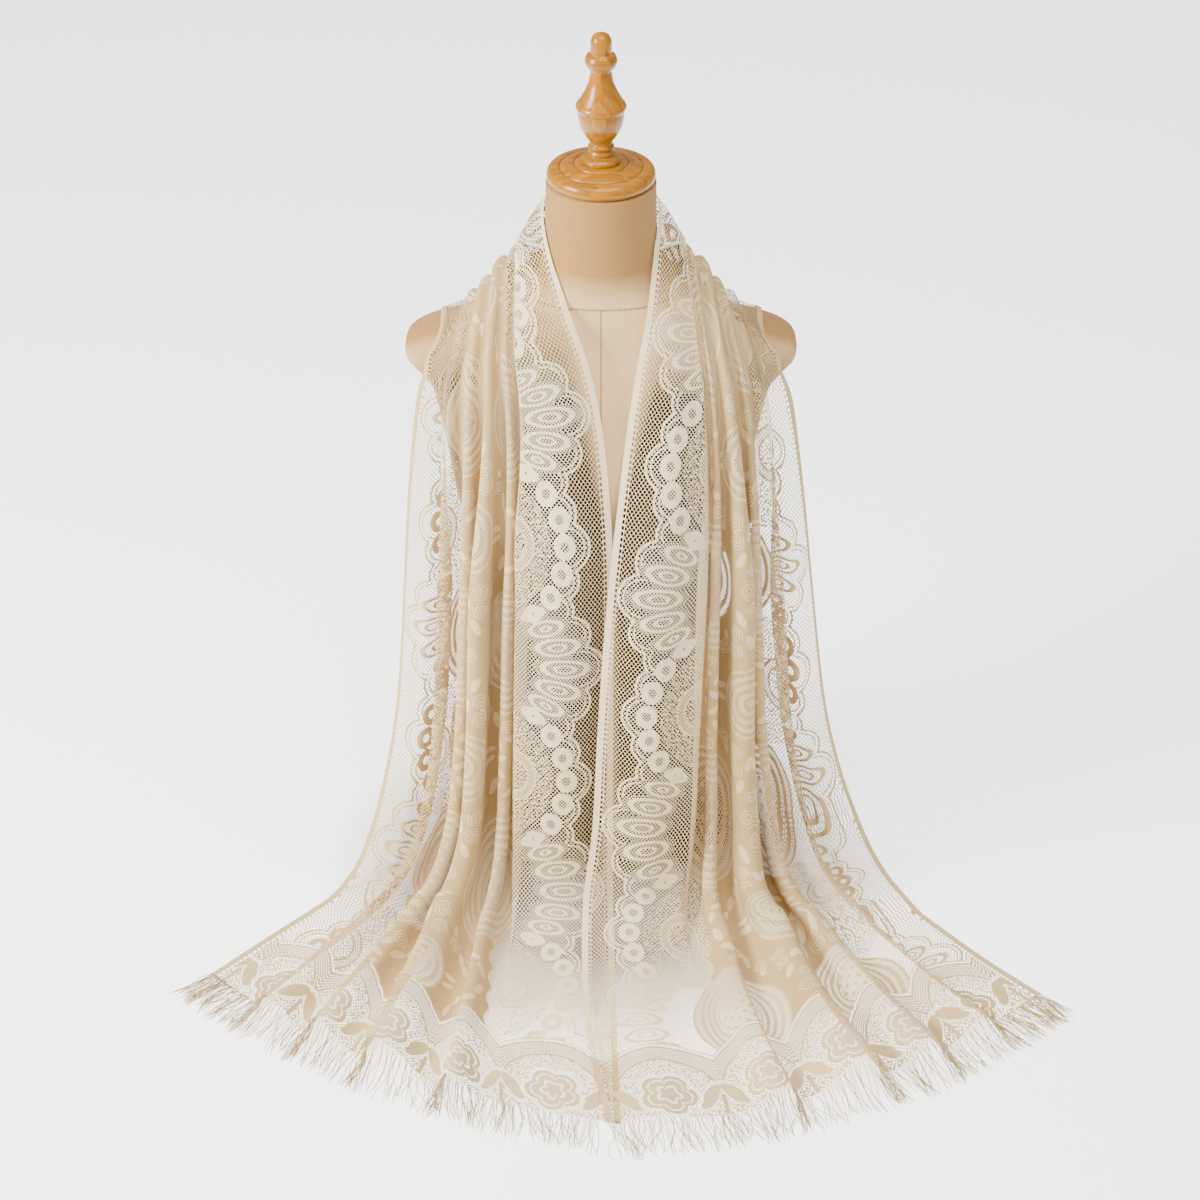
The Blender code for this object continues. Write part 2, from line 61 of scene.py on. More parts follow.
# %% The form and the turned wood
# A limbless body of a general figure on a flat base
FORM_COLUMNS = ("height", "half_width", "front", "back", "squareness")
FORM_SECTIONS = (
    (0, 144, 101, 98, 2.3),
    (20, 152, 107, 106, 2.3),
    (90, 158, 111, 116, 2.3),
    (170, 146, 103, 106, 2.25),
    (230, 124, 91, 90, 2.2),
    (275, 114, 85, 80, 2.2),
    (320, 119, 91, 84, 2.2),
    (370, 132, 102, 96, 2.3),
    (415, 143, 110, 106, 2.4),
    (460, 150, 99, 112, 2.6),
    (500, 157, 84, 110, 2.9),
    (530, 164, 71, 103, 3.1),
    (548, 177, 63, 95, 3.2),
    (560, 188, 59, 91, 3.2),
    (567, 189, 57, 88, 3.1),
    (575, 171, 55, 85, 2.8),
    (581, 151, 54, 83, 2.6),
    (593, 134, 53, 80, 2.5),
    (608, 115, 53, 76, 2.4),
    (623, 96, 53, 73, 2.35),
    (636, 78, 54, 69, 2.3),
    (648, 65, 54, 66, 2.2),
    (662, 57, 54, 62, 2.1),
    (690, 53, 53, 57, 2.0),
    (738, 52, 52, 52, 2.0),
)
BUST = {"rise": 16 * MM, "apart": 72 * MM, "height": 412 * MM, "across": 44 * MM, "tall": 56 * MM}
BASE_EDGE = 3 * MM
# Turned wood: radius and height above each piece's own foot, in millimetres
CAP_FOOT = 738.3 * MM
CAP_PROFILE = (
    (0, 0), (46.5, 0), (50, 2), (51.5, 6.5), (50, 11.5), (46, 14), (40.4, 14.6), (39.4, 13.6),
    (38.4, 14.9), (26.4, 18.4), (25.4, 17.6), (24.4, 18.9), (17, 20), (0, 20),
)
FINIAL_FOOT = CAP_FOOT + 20.3 * MM
FINIAL_PROFILE = (
    (0, 0), (18.5, 0), (18.6, 2), (16.5, 5), (12, 6.8), (12.3, 9), (10.9, 12), (12.3, 15.5),
    (10.3, 18.5), (15.5, 27), (19.7, 36), (21.7, 47), (21.6, 50), (22.6, 51.5), (23.8, 55),
    (20.5, 60.8), (14.4, 72), (11.4, 81), (10.1, 91), (13.4, 94.5), (15.2, 100), (13.4, 105.5),
    (10, 108), (10, 118), (7.2, 124.8), (0, 127.8),
)
print("form sections:", len(FORM_SECTIONS), "finial points:", len(FINIAL_PROFILE))

# %% [markdown]
# ## The cloth, in numbers
#
# The shawl is one long rectangle that is gathered into soft folds round the neck and fans out on
# the table. A cloth simulation could drop it there, but would never fall twice in the same way as
# the solids. So each row across the cloth is given instead, and the folds follow from its sizes.

# %% The cloth's folds and rows
# Material widths across the cloth, from the inner edge to the outer one. Each fold goes down
# from the front of the cloth and comes up again; borders only ripple
WALL = 1.2 * MM
FORM_CLEARANCE = 1.0 * MM
FOLD_COLUMNS = ("down", "up", "sharpness", "lean")
BORDER = 96
OUTER_NET = 34
RIPPLE = 0.12
LEFT_FOLDS = (
    (49, 35, 1.00, 0.10),
    (32, 54, 0.92, -0.06),
    (58, 47, 1.04, 0.12),
    (37, 40, 0.90, -0.05),
    (35, 33, 0.86, 0.08),
)
RIGHT_FOLDS = (
    (47, 37, 1.00, -0.12),
    (35, 57, 0.95, 0.06),
    (61, 45, 1.05, -0.10),
    (35, 39, 0.88, 0.08),
    (34, 30, 0.86, -0.05),
)
# How finely a half fold is worked out, and how steep the folds may get to take in the cut
FOLD_STEPS = 24
STEEPEST = 114
TIGHTEST = 1.22
TIGHTNESS_TRIES = 15
EASE_ROWS = (-0.6, -0.3, 0.0, 0.3, 0.6)
EASE_PASSES = 262
CHEST = {"middle": 5.5, "reach": 1.3, "blend": 0.7}
LAP = {"rise": 5.5 * MM, "flat": 60, "ends": 104}
TABLE_LEAN = 0.5
FOLD_ROOM = 0.8
CLEARING_PASSES = 8
CARRIER_STEPS = 48

# Rows across the cloth: its inner and outer edge, how the row bows between them, the folds'
# steepest angle in degrees and the outermost one's share of it, the borders' share of their
# width, how far the folds stand on the table, and their height against freely hanging ones
ROW_COLUMNS = (
    "inner_x", "inner_y", "inner_z", "outer_x", "outer_y", "outer_z",
    "bow_out", "bow_down", "steep", "outer_steep", "spread", "stand", "height",
)
LEFT_ROWS = (
    (18, -485, 0, -386, -263, 0, 34, 0, 72, 1.00, 1.00, 1.00, 0.66),
    (16, -375, 0, -337, -207, 0, 33, 0, 74, 1.00, 1.00, 1.00, 0.66),
    (14, -262, 0, -285, -149, 0, 27, 0, 82, 1.00, 1.00, 1.00, 0.70),
    (13, -190, 6, -256, -113, 14, 26, 0, 94, 1.00, 1.00, 0.80, 0.80),
    (12, -160, 48, -238, -92, 50, 28, 0, 102, 1.00, 1.00, 0.35, 0.95),
    (12, -151, 120, -222, -78, 108, 32, 0, 105, 1.00, 1.00, 0.05, 1.00),
    (12, -147, 247, -206, -66, 200, 36, 0, 106, 1.00, 1.00, 0.00, 1.00),
    (12, -143, 392, -196, -57, 322, 38, 0, 102, 1.00, 0.98, 0.00, 0.95),
    (-1, -88, 544, -187, -48, 450, 32, 0, 82, 0.80, 0.84, 0.00, 0.90),
    (-34, -52, 640, -174, -46, 545, 12, 6, 68, 0.50, 0.62, 0.00, 0.80),
)
SHOULDER_ROWS = (
    (-54, 8, 708, -156, -6, 583, 0, 6, 66, 0.40, 0.48, 0.00, 0.80),
    (-51, 32, 711, -154, 79, 560, 0, 12, 66, 0.45, 0.55, 0.00, 0.80),
    (-36, 55, 714, -112, 116, 470, 8, 4, 66, 0.70, 0.68, 0.00, 0.90),
    (0, 67, 716, 0, 136, 408, 12, 0, 66, 0.85, 0.80, 0.00, 1.00),
    (36, 55, 714, 112, 116, 470, 8, 4, 66, 0.70, 0.68, 0.00, 0.90),
    (51, 32, 711, 154, 79, 560, 0, 12, 66, 0.45, 0.55, 0.00, 0.80),
    (54, 8, 708, 157, -6, 580, 0, 6, 66, 0.40, 0.48, 0.00, 0.80),
)
RIGHT_ROWS = (
    (44, -56, 635, 181, -47, 541, 12, 6, 68, 0.50, 0.62, 0.00, 0.80),
    (27, -91, 536, 196, -48, 449, 32, 0, 82, 0.80, 0.84, 0.00, 0.90),
    (8, -152, 392, 211, -53, 318, 38, 0, 102, 1.00, 0.98, 0.00, 0.95),
    (-2, -159, 234, 228, -66, 188, 38, 0, 106, 1.00, 1.00, 0.00, 1.00),
    (-8, -163, 107, 255, -82, 88, 34, 0, 105, 1.00, 1.00, 0.05, 1.00),
    (-16, -173, 38, 279, -116, 42, 30, 0, 102, 1.00, 1.00, 0.35, 0.95),
    (-19, -212, 6, 305, -140, 12, 28, 0, 94, 1.00, 1.00, 0.80, 0.80),
    (-19, -280, 0, 334, -177, 0, 30, 0, 82, 1.00, 1.00, 1.00, 0.70),
    (-11, -385, 0, 381, -237, 0, 38, 0, 74, 1.00, 1.00, 1.00, 0.66),
    (5, -487, 0, 431, -293, 0, 44, 0, 72, 1.00, 1.00, 1.00, 0.66),
)
print("rows across the cloth:", len(LEFT_ROWS + SHOULDER_ROWS + RIGHT_ROWS))

# %% [markdown]
# ## The form's surface
#
# Each section is a superellipse, and the bust is a soft bump on its front. A formula is used and
# not a mesh, because the cloth has to ask at any point how far off the form it lies.

# %% Lookups and the form's radius
def columns(rows, names):
    """A table's columns by name, as arrays."""
    return dict(zip(names, np.array(rows, float).T))


def running_total(steps, axis=0):
    """The sum of the steps so far along an axis, from nothing at its start."""
    start = np.zeros_like(np.take(steps, [0], axis))
    return np.concatenate((start, np.cumsum(steps, axis)), axis)


def smooth_step(t):
    """From 0 to 1 with a soft start and end."""
    return t * t * (3 - 2 * t)


def smooth_lookup(x, xs, ys):
    """A curve through the table's points that never overshoots between them."""
    xs, ys, x = np.asarray(xs, float), np.asarray(ys, float), np.asarray(x, float)
    rise = np.diff(ys) / np.diff(xs)
    slope = np.empty_like(ys)
    slope[0], slope[-1] = rise[0], rise[-1]
    before, after = rise[:-1], rise[1:]
    same_way = before * after > 0
    total = np.where(same_way, before + after, 1.0)
    slope[1:-1] = np.where(same_way, 2 * before * after / total, 0.0)
    i = np.clip(np.searchsorted(xs, x) - 1, 0, len(xs) - 2)
    width = xs[i + 1] - xs[i]
    t = np.clip((x - xs[i]) / width, 0, 1)
    return (
        ys[i] * (1 + 2 * t) * (1 - t) ** 2 + ys[i + 1] * t * t * (3 - 2 * t)
        + width * (slope[i] * t * (1 - t) ** 2 - slope[i + 1] * t * t * (1 - t))
    )


FORM = columns(FORM_SECTIONS, FORM_COLUMNS)


def form_radius(angle, z):
    """Distance from the form's axis to its surface, bust included."""
    across = np.abs(np.cos(angle))
    along = np.sin(angle)
    height = z / MM
    half_width = smooth_lookup(height, FORM["height"], FORM["half_width"]) * MM
    front = smooth_lookup(height, FORM["height"], FORM["front"]) * MM
    back = smooth_lookup(height, FORM["height"], FORM["back"]) * MM
    power = smooth_lookup(height, FORM["height"], FORM["squareness"])
    depth = np.where(along < 0, front, back)
    radius = ((across / half_width) ** power + (np.abs(along) / depth) ** power) ** (-1 / power)
    off_centre = (radius * across - BUST["apart"]) / BUST["across"]
    off_height = (z - BUST["height"]) / BUST["tall"]
    rise = BUST["rise"] * np.exp(-(off_centre ** 2) - off_height ** 2)
    return radius + rise * np.clip(-along, 0, 1)


print("waist radius at the side, mm:", round(float(form_radius(0.0, 275 * MM)) / MM, 1))

# %% [markdown]
# ## Keeping the cloth off the form
#
# Cloth rests on the form and never sinks into it. A Shrinkwrap modifier could hold it off, but it
# moves points alone, and the flat faces between them would still cut the curved form. So the
# middles between neighbouring points are pushed out too.

# %% Clearing
# The ends of the lines whose middles are tested: down, across and both ways over a face
NEIGHBOURS = (((0, 0), (1, 0)), ((0, 0), (0, 1)), ((0, 0), (1, 1)), ((1, 0), (0, 1)))
SLOPE_STEP = 0.5 * MM


def shortfall(points, clearance):
    """How far each point is short of the clearance from the form, and the way out."""
    step = SLOPE_STEP
    x, y, z = points[..., 0], points[..., 1], points[..., 2]
    angle = np.arctan2(y, x)
    radius = np.hypot(x, y)
    turn = step / radius
    by_height = (form_radius(angle, z + step) - form_radius(angle, z - step)) / (2 * step)
    by_angle = (form_radius(angle + turn, z) - form_radius(angle - turn, z)) / (2 * step)
    way = np.stack((
        np.cos(angle) + by_angle * np.sin(angle),
        np.sin(angle) - by_angle * np.cos(angle),
        -by_height,
    ), -1)
    steepness = np.sqrt(1 + by_height ** 2 + by_angle ** 2)
    short = np.clip(clearance - (radius - form_radius(angle, z)) / steepness, 0, None)
    return short, way / steepness[..., None]


def push_clear(points, clearance):
    """Moves a grid of points out, until they and the middles between them clear the form."""
    clearance = np.broadcast_to(clearance, points.shape[:2])
    high, wide = clearance.shape
    spans = []
    for ends in NEIGHBOURS:
        rows, steps = np.max(ends, 0)
        spans.append([(slice(i, high - rows + i), slice(j, wide - steps + j)) for i, j in ends])
    for _ in range(CLEARING_PASSES):
        short, way = shortfall(points, clearance)
        for one, other in spans:
            middle = (points[one] + points[other]) / 2
            between = shortfall(middle, (clearance[one] + clearance[other]) / 2)[0]
            short[one] = np.maximum(short[one], between)
            short[other] = np.maximum(short[other], between)
        points = points + short[..., None] * way
    return points


# %% [markdown]
# ## Folds
#
# Seen from above, a hanging cloth is a wavy line. Each half fold turns through a sine of the way
# along it, the line that a bent strip takes, which stays smooth even where the fold is deeper than
# it is wide. On the table the same folds stand on their valleys and lean over.

# %% Fold widths and one row's profile
def material_layout(folds):
    """Every half fold across the cloth: where it starts, how sharply it turns, its lean."""
    table = columns(folds, FOLD_COLUMNS)
    halves = np.stack((table["down"], table["up"]), -1).ravel()
    widths = np.concatenate(([BORDER / 2] * 2, halves, [OUTER_NET / 2] * 2))
    down_up = np.tile((-1, 1), len(folds)) * np.repeat(table["sharpness"], 2)
    turns = np.concatenate(((RIPPLE, -RIPPLE), down_up, (RIPPLE, -RIPPLE)))
    lean = np.concatenate(((0, 0), np.repeat(table["lean"], 2), (0, 0)))
    return running_total(widths), turns, lean


LEFT_LAYOUT = material_layout(LEFT_FOLDS)
RIGHT_LAYOUT = material_layout(RIGHT_FOLDS)
HALVES = len(LEFT_LAYOUT[1])
FIRST_FOLD = 2
LAST_FOLD = HALVES - 2


def fold_headings(side, row):
    """The cloth's widths and headings at fine steps, and which of them are in folds."""
    fine = np.linspace(0, HALVES, FOLD_STEPS * HALVES + 1)
    edges, turns = ((1 - side) * a + side * b for a, b in zip(LEFT_LAYOUT[:2], RIGHT_LAYOUT[:2]))
    half = np.clip(fine.astype(int), 0, HALVES - 1)
    outward = np.clip((fine - FIRST_FOLD) / (LAST_FOLD - FIRST_FOLD), 0, 1)
    steep = np.radians(row["steep"]) * (1 + (row["outer_steep"] - 1) * outward)
    heading = np.sin(np.pi * (fine - half)) * turns[half] * steep
    heading = (heading[1:] + heading[:-1]) / 2
    width = np.diff(np.interp(fine, np.arange(HALVES + 1), edges)) * MM
    folded = (half[:-1] >= FIRST_FOLD) & (half[:-1] < LAST_FOLD)
    return edges, width, heading, folded


def fold_tightness(side, row, reach):
    """How much steeper than the table's the folds have to be to take in the whole cut."""
    _, width, heading, folded = fold_headings(side, row)
    flat_run = np.sum((width * np.cos(heading))[~folded]) * row["spread"]
    steepest = np.clip(STEEPEST / row["steep"], 1, TIGHTEST)
    tighter = np.linspace(1, steepest, TIGHTNESS_TRIES)
    runs = [np.sum((width * np.cos(heading * more))[folded]) for more in tighter]
    return np.interp(flat_run - reach, -np.array(runs), tighter)


def fold_profile(across, side, row, reach, tighter):
    """How far along its row (0 to 1) and how far off it each point of the cloth lies.

    side is 0 on the left fall and 1 on the right one. The folds take in as much cloth as the
    row's reach leaves at their steepness, which grows until the whole cut fits in.
    """
    fine = np.linspace(0, HALVES, FOLD_STEPS * HALVES + 1)
    lean = (1 - side) * LEFT_LAYOUT[2] + side * RIGHT_LAYOUT[2]
    edges, width, heading, folded = fold_headings(side, row)
    outward = np.clip((fine - FIRST_FOLD) / (LAST_FOLD - FIRST_FOLD), 0, 1)
    folding = np.clip(np.minimum(fine - FIRST_FOLD, LAST_FOLD - fine), 0, 1)
    flat_run = np.sum((width * np.cos(heading))[~folded]) * row["spread"]
    heading = heading * np.where(folded, tighter, 1)
    fold_run = np.sum((width * np.cos(heading))[folded])
    width *= np.where(folded, (reach - flat_run) / fold_run, row["spread"])
    along = running_total(width * np.cos(heading))
    off = running_total(width * np.sin(heading))
    start, end = fine.searchsorted(FIRST_FOLD), fine.searchsorted(LAST_FOLD)
    off -= (off[end] - off[start]) * outward
    valleys = np.arange(FIRST_FOLD + 1, LAST_FOLD, 2)
    nodes = np.concatenate(([0, FIRST_FOLD], valleys, [LAST_FOLD, HALVES]))
    depth = np.interp(nodes, fine, off)
    depth[[0, 1, -2, -1]] = 0
    place = np.clip(np.searchsorted(nodes, fine) - 1, 0, len(nodes) - 2)
    part = (fine - nodes[place]) / (nodes[place + 1] - nodes[place])
    ease = (1 - np.cos(np.pi * part)) / 2
    floor = depth[place] * (1 - ease) + depth[place + 1] * ease
    off = row["height"] * (off - row["stand"] * floor)
    tilt = np.interp(fine, np.arange(HALVES) + 0.5, lean) + TABLE_LEAN * row["stand"] * folding
    along = along / along[-1] + tilt * off / reach
    material = np.interp(across, np.arange(HALVES + 1), edges)
    depth = np.interp(np.linspace(0, 1, CARRIER_STEPS + 1), along, -row["height"] * floor)
    return np.interp(across, fine, along), np.interp(across, fine, off), material, depth


ROWS = columns(LEFT_ROWS + SHOULDER_ROWS + RIGHT_ROWS, ROW_COLUMNS)
LEFT_END = float(len(LEFT_ROWS))
RIGHT_START = float(len(LEFT_ROWS) + len(SHOULDER_ROWS) - 1)
LAST_ROW = float(len(ROWS["inner_x"]) - 1)


def row_values(rows):
    """Every column of the row table at the given places along the shawl."""
    numbers = np.arange(LAST_ROW + 1)
    return {name: smooth_lookup(rows, numbers, values) for name, values in ROWS.items()}


print("half folds across the cloth:", HALVES, "rows along it:", int(LAST_ROW) + 1)

# %% [markdown]
# ## The drape
#
# A smooth carrier sheet runs from row to row, and the folds ride on it like a relief. Real folds
# come and go slowly, so their tightness is evened out along the fall, and the chest, where the
# cloth leaves the form, is eased once more.

# %% The drape
# The carrier is bowed at finer steps than it is kept at
BOW_STEPS = 4 * CARRIER_STEPS


def carrier_grid(rows):
    """The smooth sheet that the folds ride on: points and outward normals."""
    value = row_values(rows)
    inner = np.stack([value["inner_" + axis] for axis in "xyz"], -1) * MM
    outer = np.stack([value["outer_" + axis] for axis in "xyz"], -1) * MM
    chord = (outer - inner)[:, :2]
    across = np.stack((-chord[:, 1], chord[:, 0]), -1)
    across /= np.linalg.norm(across, axis=1)[:, None]
    middle = (inner + outer) / 2
    away = np.sign(np.sum(across * middle[:, :2], -1))[:, None]
    middle[:, :2] += across * away * value["bow_out"][:, None] * MM
    middle[:, 2] -= value["bow_down"] * MM
    fine = np.linspace(0, 1, BOW_STEPS + 1)[None, :, None]
    curve = (
        inner[:, None] * (1 - fine) * (1 - 2 * fine) + middle[:, None] * 4 * fine * (1 - fine)
        + outer[:, None] * fine * (2 * fine - 1)
    )
    lengths = np.linalg.norm(np.diff(curve, axis=1), axis=2)
    run = running_total(lengths, 1)
    even = np.linspace(0, 1, CARRIER_STEPS + 1)
    grid = np.empty((len(rows), CARRIER_STEPS + 1, 3))
    for r in range(len(rows)):
        for axis in range(3):
            grid[r, :, axis] = np.interp(even * run[r, -1], run[r], curve[r, :, axis])
    return grid, run[:, -1], value


def grid_normals(grid):
    """Unit normals of a grid of points, on the side that faces away from the form."""
    by_row = np.gradient(grid, axis=0)
    by_step = np.gradient(grid, axis=1)
    normal = np.cross(by_row, by_step)
    return normal / np.linalg.norm(normal, axis=2)[..., None]


def eased(cloth, rows):
    """The cloth with the folds' changes over the chest spread along its fall."""
    if len(rows) < EASE_PASSES:
        return cloth
    soft = cloth.copy()
    for _ in range(EASE_PASSES):
        soft[1:-1] = (soft[:-2] + 2 * soft[1:-1] + soft[2:]) / 4
    from_neck = np.abs(rows - LAST_ROW / 2)
    share = np.clip((CHEST["reach"] - np.abs(from_neck - CHEST["middle"])) / CHEST["blend"], 0, 1)
    return cloth + (soft - cloth) * share[:, None, None]


def drape(rows, across):
    """The middle of the cloth at each row and step."""
    grid, reach, value = carrier_grid(rows)
    side = np.clip((rows - LEFT_END) / (RIGHT_START - LEFT_END), 0, 1)
    by_row = [{name: values[r] for name, values in value.items()} for r in range(len(rows))]
    solved = [fold_tightness(side[r], by_row[r], reach[r]) for r in range(len(rows))]
    tight = np.mean([np.interp(rows + shift, rows, solved) for shift in EASE_ROWS], axis=0)
    profiles = [
        fold_profile(across, side[r], by_row[r], reach[r], tight[r]) for r in range(len(rows))
    ]
    room = FOLD_ROOM * np.array([depth for _, _, _, depth in profiles])
    grid = push_clear(grid, FORM_CLEARANCE + WALL / 2 + room)
    normals = grid_normals(grid)
    even = np.linspace(0, 1, CARRIER_STEPS + 1)
    cloth = np.empty((len(rows), len(across), 3))
    for r, (along, off, width, _) in enumerate(profiles):
        lap_share = 1 - np.clip((width - LAP["flat"]) / (LAP["ends"] - LAP["flat"]), 0, 1)
        off = off + LAP["rise"] * lap_share * np.clip(rows[r] - RIGHT_START - 1, 0, 1)
        for axis in range(3):
            base = np.interp(along, even, grid[r, :, axis])
            cloth[r, :, axis] = base + np.interp(along, even, normals[r, :, axis]) * off
    cloth = push_clear(eased(cloth, rows), FORM_CLEARANCE + WALL / 2)
    cloth[..., 2] = np.maximum(cloth[..., 2], WALL / 2)
    return cloth


# %% [markdown]
# ## The lace design
#
# The design lives on the flat cut: across from the inner edge, along from the hem, in
# millimetres. Each shape is a distance field, positive inside it. Rings on an arc and shells of
# petals take turns along both long edges inside a scalloped outline; medallions stand behind
# them; arcs with plain flowers run along the hems. Cutting such holes into the mesh would take
# millions of faces. A field needs one number at each point, and stays sharp at any distance.

# %% The design's sizes
CUT_WIDTH = float(LEFT_LAYOUT[0][-1])
REPEAT = 262.0
PHASE = {"left": 62.0, "right": -10.0}
# The scalloped outline: circles across, along, radius
CHAIN_LOBES = ((48, 0, 26), (56, 34, 22), (76, 62, 20))
SHELL_LOBES = ((35, 0, 26), (45, 38, 22), (60, 66, 20))
BODY_EDGE = 50.0
CHAIN = {"centre": 143, "radius": 95, "step": 16.8, "ring": 10.8, "last_ring": 8.2,
         "count": 4, "squat": 0.83}
# Petals: degrees round the fan's focus, radius from it, half length, half width
PETALS = ((0, 130, 26, 10.6), (11.2, 125, 24, 10.2), (21.6, 119, 20, 9.0), (30.5, 113, 14.5, 7.2))
FAN_FOCUS = 180
MEDALLION = {"across": 176, "radius": 70, "middle": 40}
# Roses and leaves: degrees round the fan's focus, radius from it, size
GARLAND = (
    (0, 90, 10), (13, 98, 8), (34, 92, 9), (44, 104, 10), (57, 94, 8), (80, 92, 10), (93, 84, 8),
)
LEAVES = ((6, 108, 9), (22, 88, 10), (33, 110, 9), (51, 86, 9), (68, 100, 10), (86, 104, 9))
# Single leaves in the middle: across, along, turn, size
SPRIGS = (
    (160, 14, 1.1, 10), (171, 31, 0.4, 9), (184, 8, -0.5, 9), (204, 22, 0.8, 11), (226, 6, 0.2, 9),
)
ROSE = {"edge": 1.04, "wave": 0.08, "petals": 5, "twist": 0.4, "margin": 1.5, "line": 3.4}
LEAF = {"tilt": 0.7, "thin": 0.42, "sprig_thin": 0.4}
ROUNDEL = {"across": 104, "radius": 25}
FIELD_EDGE = {"base": 142.0, "scallop": 8.0, "wave": 30}
HEM_ARCS = {"first": 65.0, "spacing": 104.0, "height": 30.0, "radius": 74.0}
FLOWER = {"radius": 18.0, "petal": 9.0, "petals": 5, "turn": 0.4}
SPRAY = {"across": 40.0, "height": 26.0, "turn": 1.0, "half_length": 19.0, "half_width": 7.0}
OUTSIDE = -1000.0
print("cut width, mm:", CUT_WIDTH, "design repeats every", REPEAT)

# %% [markdown]
# ## The design's fields
#
# Everything is measured from the nearer long edge and from the nearest repeat, so one drawing
# serves both edges and the whole length.

# %% The design's fields


def repeated(value, period):
    """The signed distance to the nearest multiple of the period."""
    return (value + period / 2) % period - period / 2


def in_circles(x, y, table):
    """How deep each point lies in the nearest circle of a table."""
    deep = np.full(x.shape, OUTSIDE)
    for across, along, radius in table:
        deep = np.maximum(deep, radius - np.hypot(x - across, y - along))
    return deep


def in_ellipse(x, y, across, along, turn, half_length, half_width):
    """How deep each point lies in an ellipse whose long axis is turned from across to along."""
    c, s = np.cos(turn), np.sin(turn)
    u = (x - across) * c + (y - along) * s
    v = (y - along) * c - (x - across) * s
    return (1 - np.hypot(u / half_length, v / half_width)) * half_width


def lace_fields(across, along, from_hem):
    """Every shape of the design as a distance field at the cloth's points, in millimetres."""
    edge = np.minimum(across, CUT_WIDTH - across)
    by_chain = np.abs(repeated(along, REPEAT))
    by_shell = np.abs(repeated(along - REPEAT / 2, REPEAT))
    region = np.maximum(
        in_circles(edge, by_chain, CHAIN_LOBES), in_circles(edge, by_shell, SHELL_LOBES))
    region = np.maximum(region, edge - BODY_EDGE)
    turns = np.radians(np.arange(CHAIN["count"]) * CHAIN["step"])
    rings = [
        (CHAIN["centre"] - CHAIN["radius"] * np.cos(t), CHAIN["radius"] * np.sin(t),
         CHAIN["ring"] if k < CHAIN["count"] - 1 else CHAIN["last_ring"])
        for k, t in enumerate(turns)
    ]
    ring = np.full(edge.shape, OUTSIDE)
    for ring_across, ring_along, ring_size in rings:
        ring = np.maximum(ring, ring_size - np.hypot(
            edge - ring_across, (by_chain - ring_along) * CHAIN["squat"]))
    petal = np.full(edge.shape, OUTSIDE)
    for turn, radius, half_length, half_width in PETALS:
        t = np.radians(turn)
        place = (FAN_FOCUS - radius * np.cos(t), radius * np.sin(t))
        petal = np.maximum(petal, in_ellipse(edge, by_shell, *place, -t, half_length, half_width))
    from_focus = np.hypot(edge - MEDALLION["across"], by_shell)
    middle = np.hypot(across - CUT_WIDTH / 2, by_chain)
    medallion = np.maximum(MEDALLION["radius"] - from_focus, MEDALLION["middle"] - middle)
    chain_arc = CHAIN["radius"] - np.hypot(edge - CHAIN["centre"], by_chain)
    rose = np.full(edge.shape, OUTSIDE)
    coil = rose.copy()
    for turn, radius, size in GARLAND:
        t = np.radians(turn)
        x, y = edge - FAN_FOCUS - radius * np.cos(t), by_shell - radius * np.sin(t)
        bearing = np.arctan2(y, x)
        from_rose = np.hypot(x, y)
        wave = np.cos(ROSE["petals"] * bearing + ROSE["twist"] * from_rose)
        depth = size * (ROSE["edge"] + ROSE["wave"] * wave) - from_rose
        turned = depth + ROSE["line"] * bearing / (2 * np.pi)
        coil = np.where(depth > -ROSE["margin"], turned, coil)
        rose = np.maximum(rose, depth)
    leaf = np.full(edge.shape, OUTSIDE)
    for turn, radius, size in LEAVES:
        t = np.radians(turn)
        place = (FAN_FOCUS + radius * np.cos(t), radius * np.sin(t))
        leaf = np.maximum(leaf, in_ellipse(
            edge, by_shell, *place, t + LEAF["tilt"], size, size * LEAF["thin"]))
    for leaf_across, leaf_along, turn, size in SPRIGS:
        leaf = np.maximum(leaf, in_ellipse(
            edge, by_chain, leaf_across, leaf_along, turn, size, size * LEAF["sprig_thin"]))
    roundel = ROUNDEL["radius"] - np.hypot(edge - ROUNDEL["across"], by_chain * CHAIN["squat"])
    scallop = np.abs(np.sin(np.pi * by_chain / FIELD_EDGE["wave"]))
    field = edge - FIELD_EDGE["base"] - FIELD_EDGE["scallop"] * scallop
    field = np.minimum(field, -medallion)
    hem_across = repeated(across - HEM_ARCS["first"], HEM_ARCS["spacing"])
    hem_along = from_hem - HEM_ARCS["height"]
    from_flower = np.hypot(hem_across, hem_along)
    bearing = np.arctan2(hem_along, hem_across)
    arc = HEM_ARCS["radius"] - np.where(hem_along > 0, from_flower, np.abs(hem_across))
    lobe = np.sqrt(np.abs(np.cos(FLOWER["petals"] / 2 * bearing + FLOWER["turn"])))
    flower = FLOWER["radius"] + FLOWER["petal"] * lobe - from_flower
    spray = in_ellipse(
        np.abs(hem_across), from_hem, SPRAY["across"], SPRAY["height"], SPRAY["turn"],
        SPRAY["half_length"], SPRAY["half_width"])
    return {
        "region": region, "ring": ring, "petal": petal, "medallion": medallion,
        "chain_arc": chain_arc, "rose": rose, "leaf": leaf, "field": field, "arc": arc,
        "flower": flower, "spray": spray, "coil": coil, "roundel": roundel,
    }


# %% [markdown]
# ## The shawl
#
# The drape is worked out once at fine steps, in four stretches: two that lie on the table and two
# that hang and go round the neck. One mesh would do, but each stretch stays light on its own.

# %% Lay the cloth
ACROSS_STEP = 2.25
ALONG_STEP = 2.6
ROW_SAMPLES = 261
COLUMN_SAMPLES = 57
TABLE_ROWS = 3.2


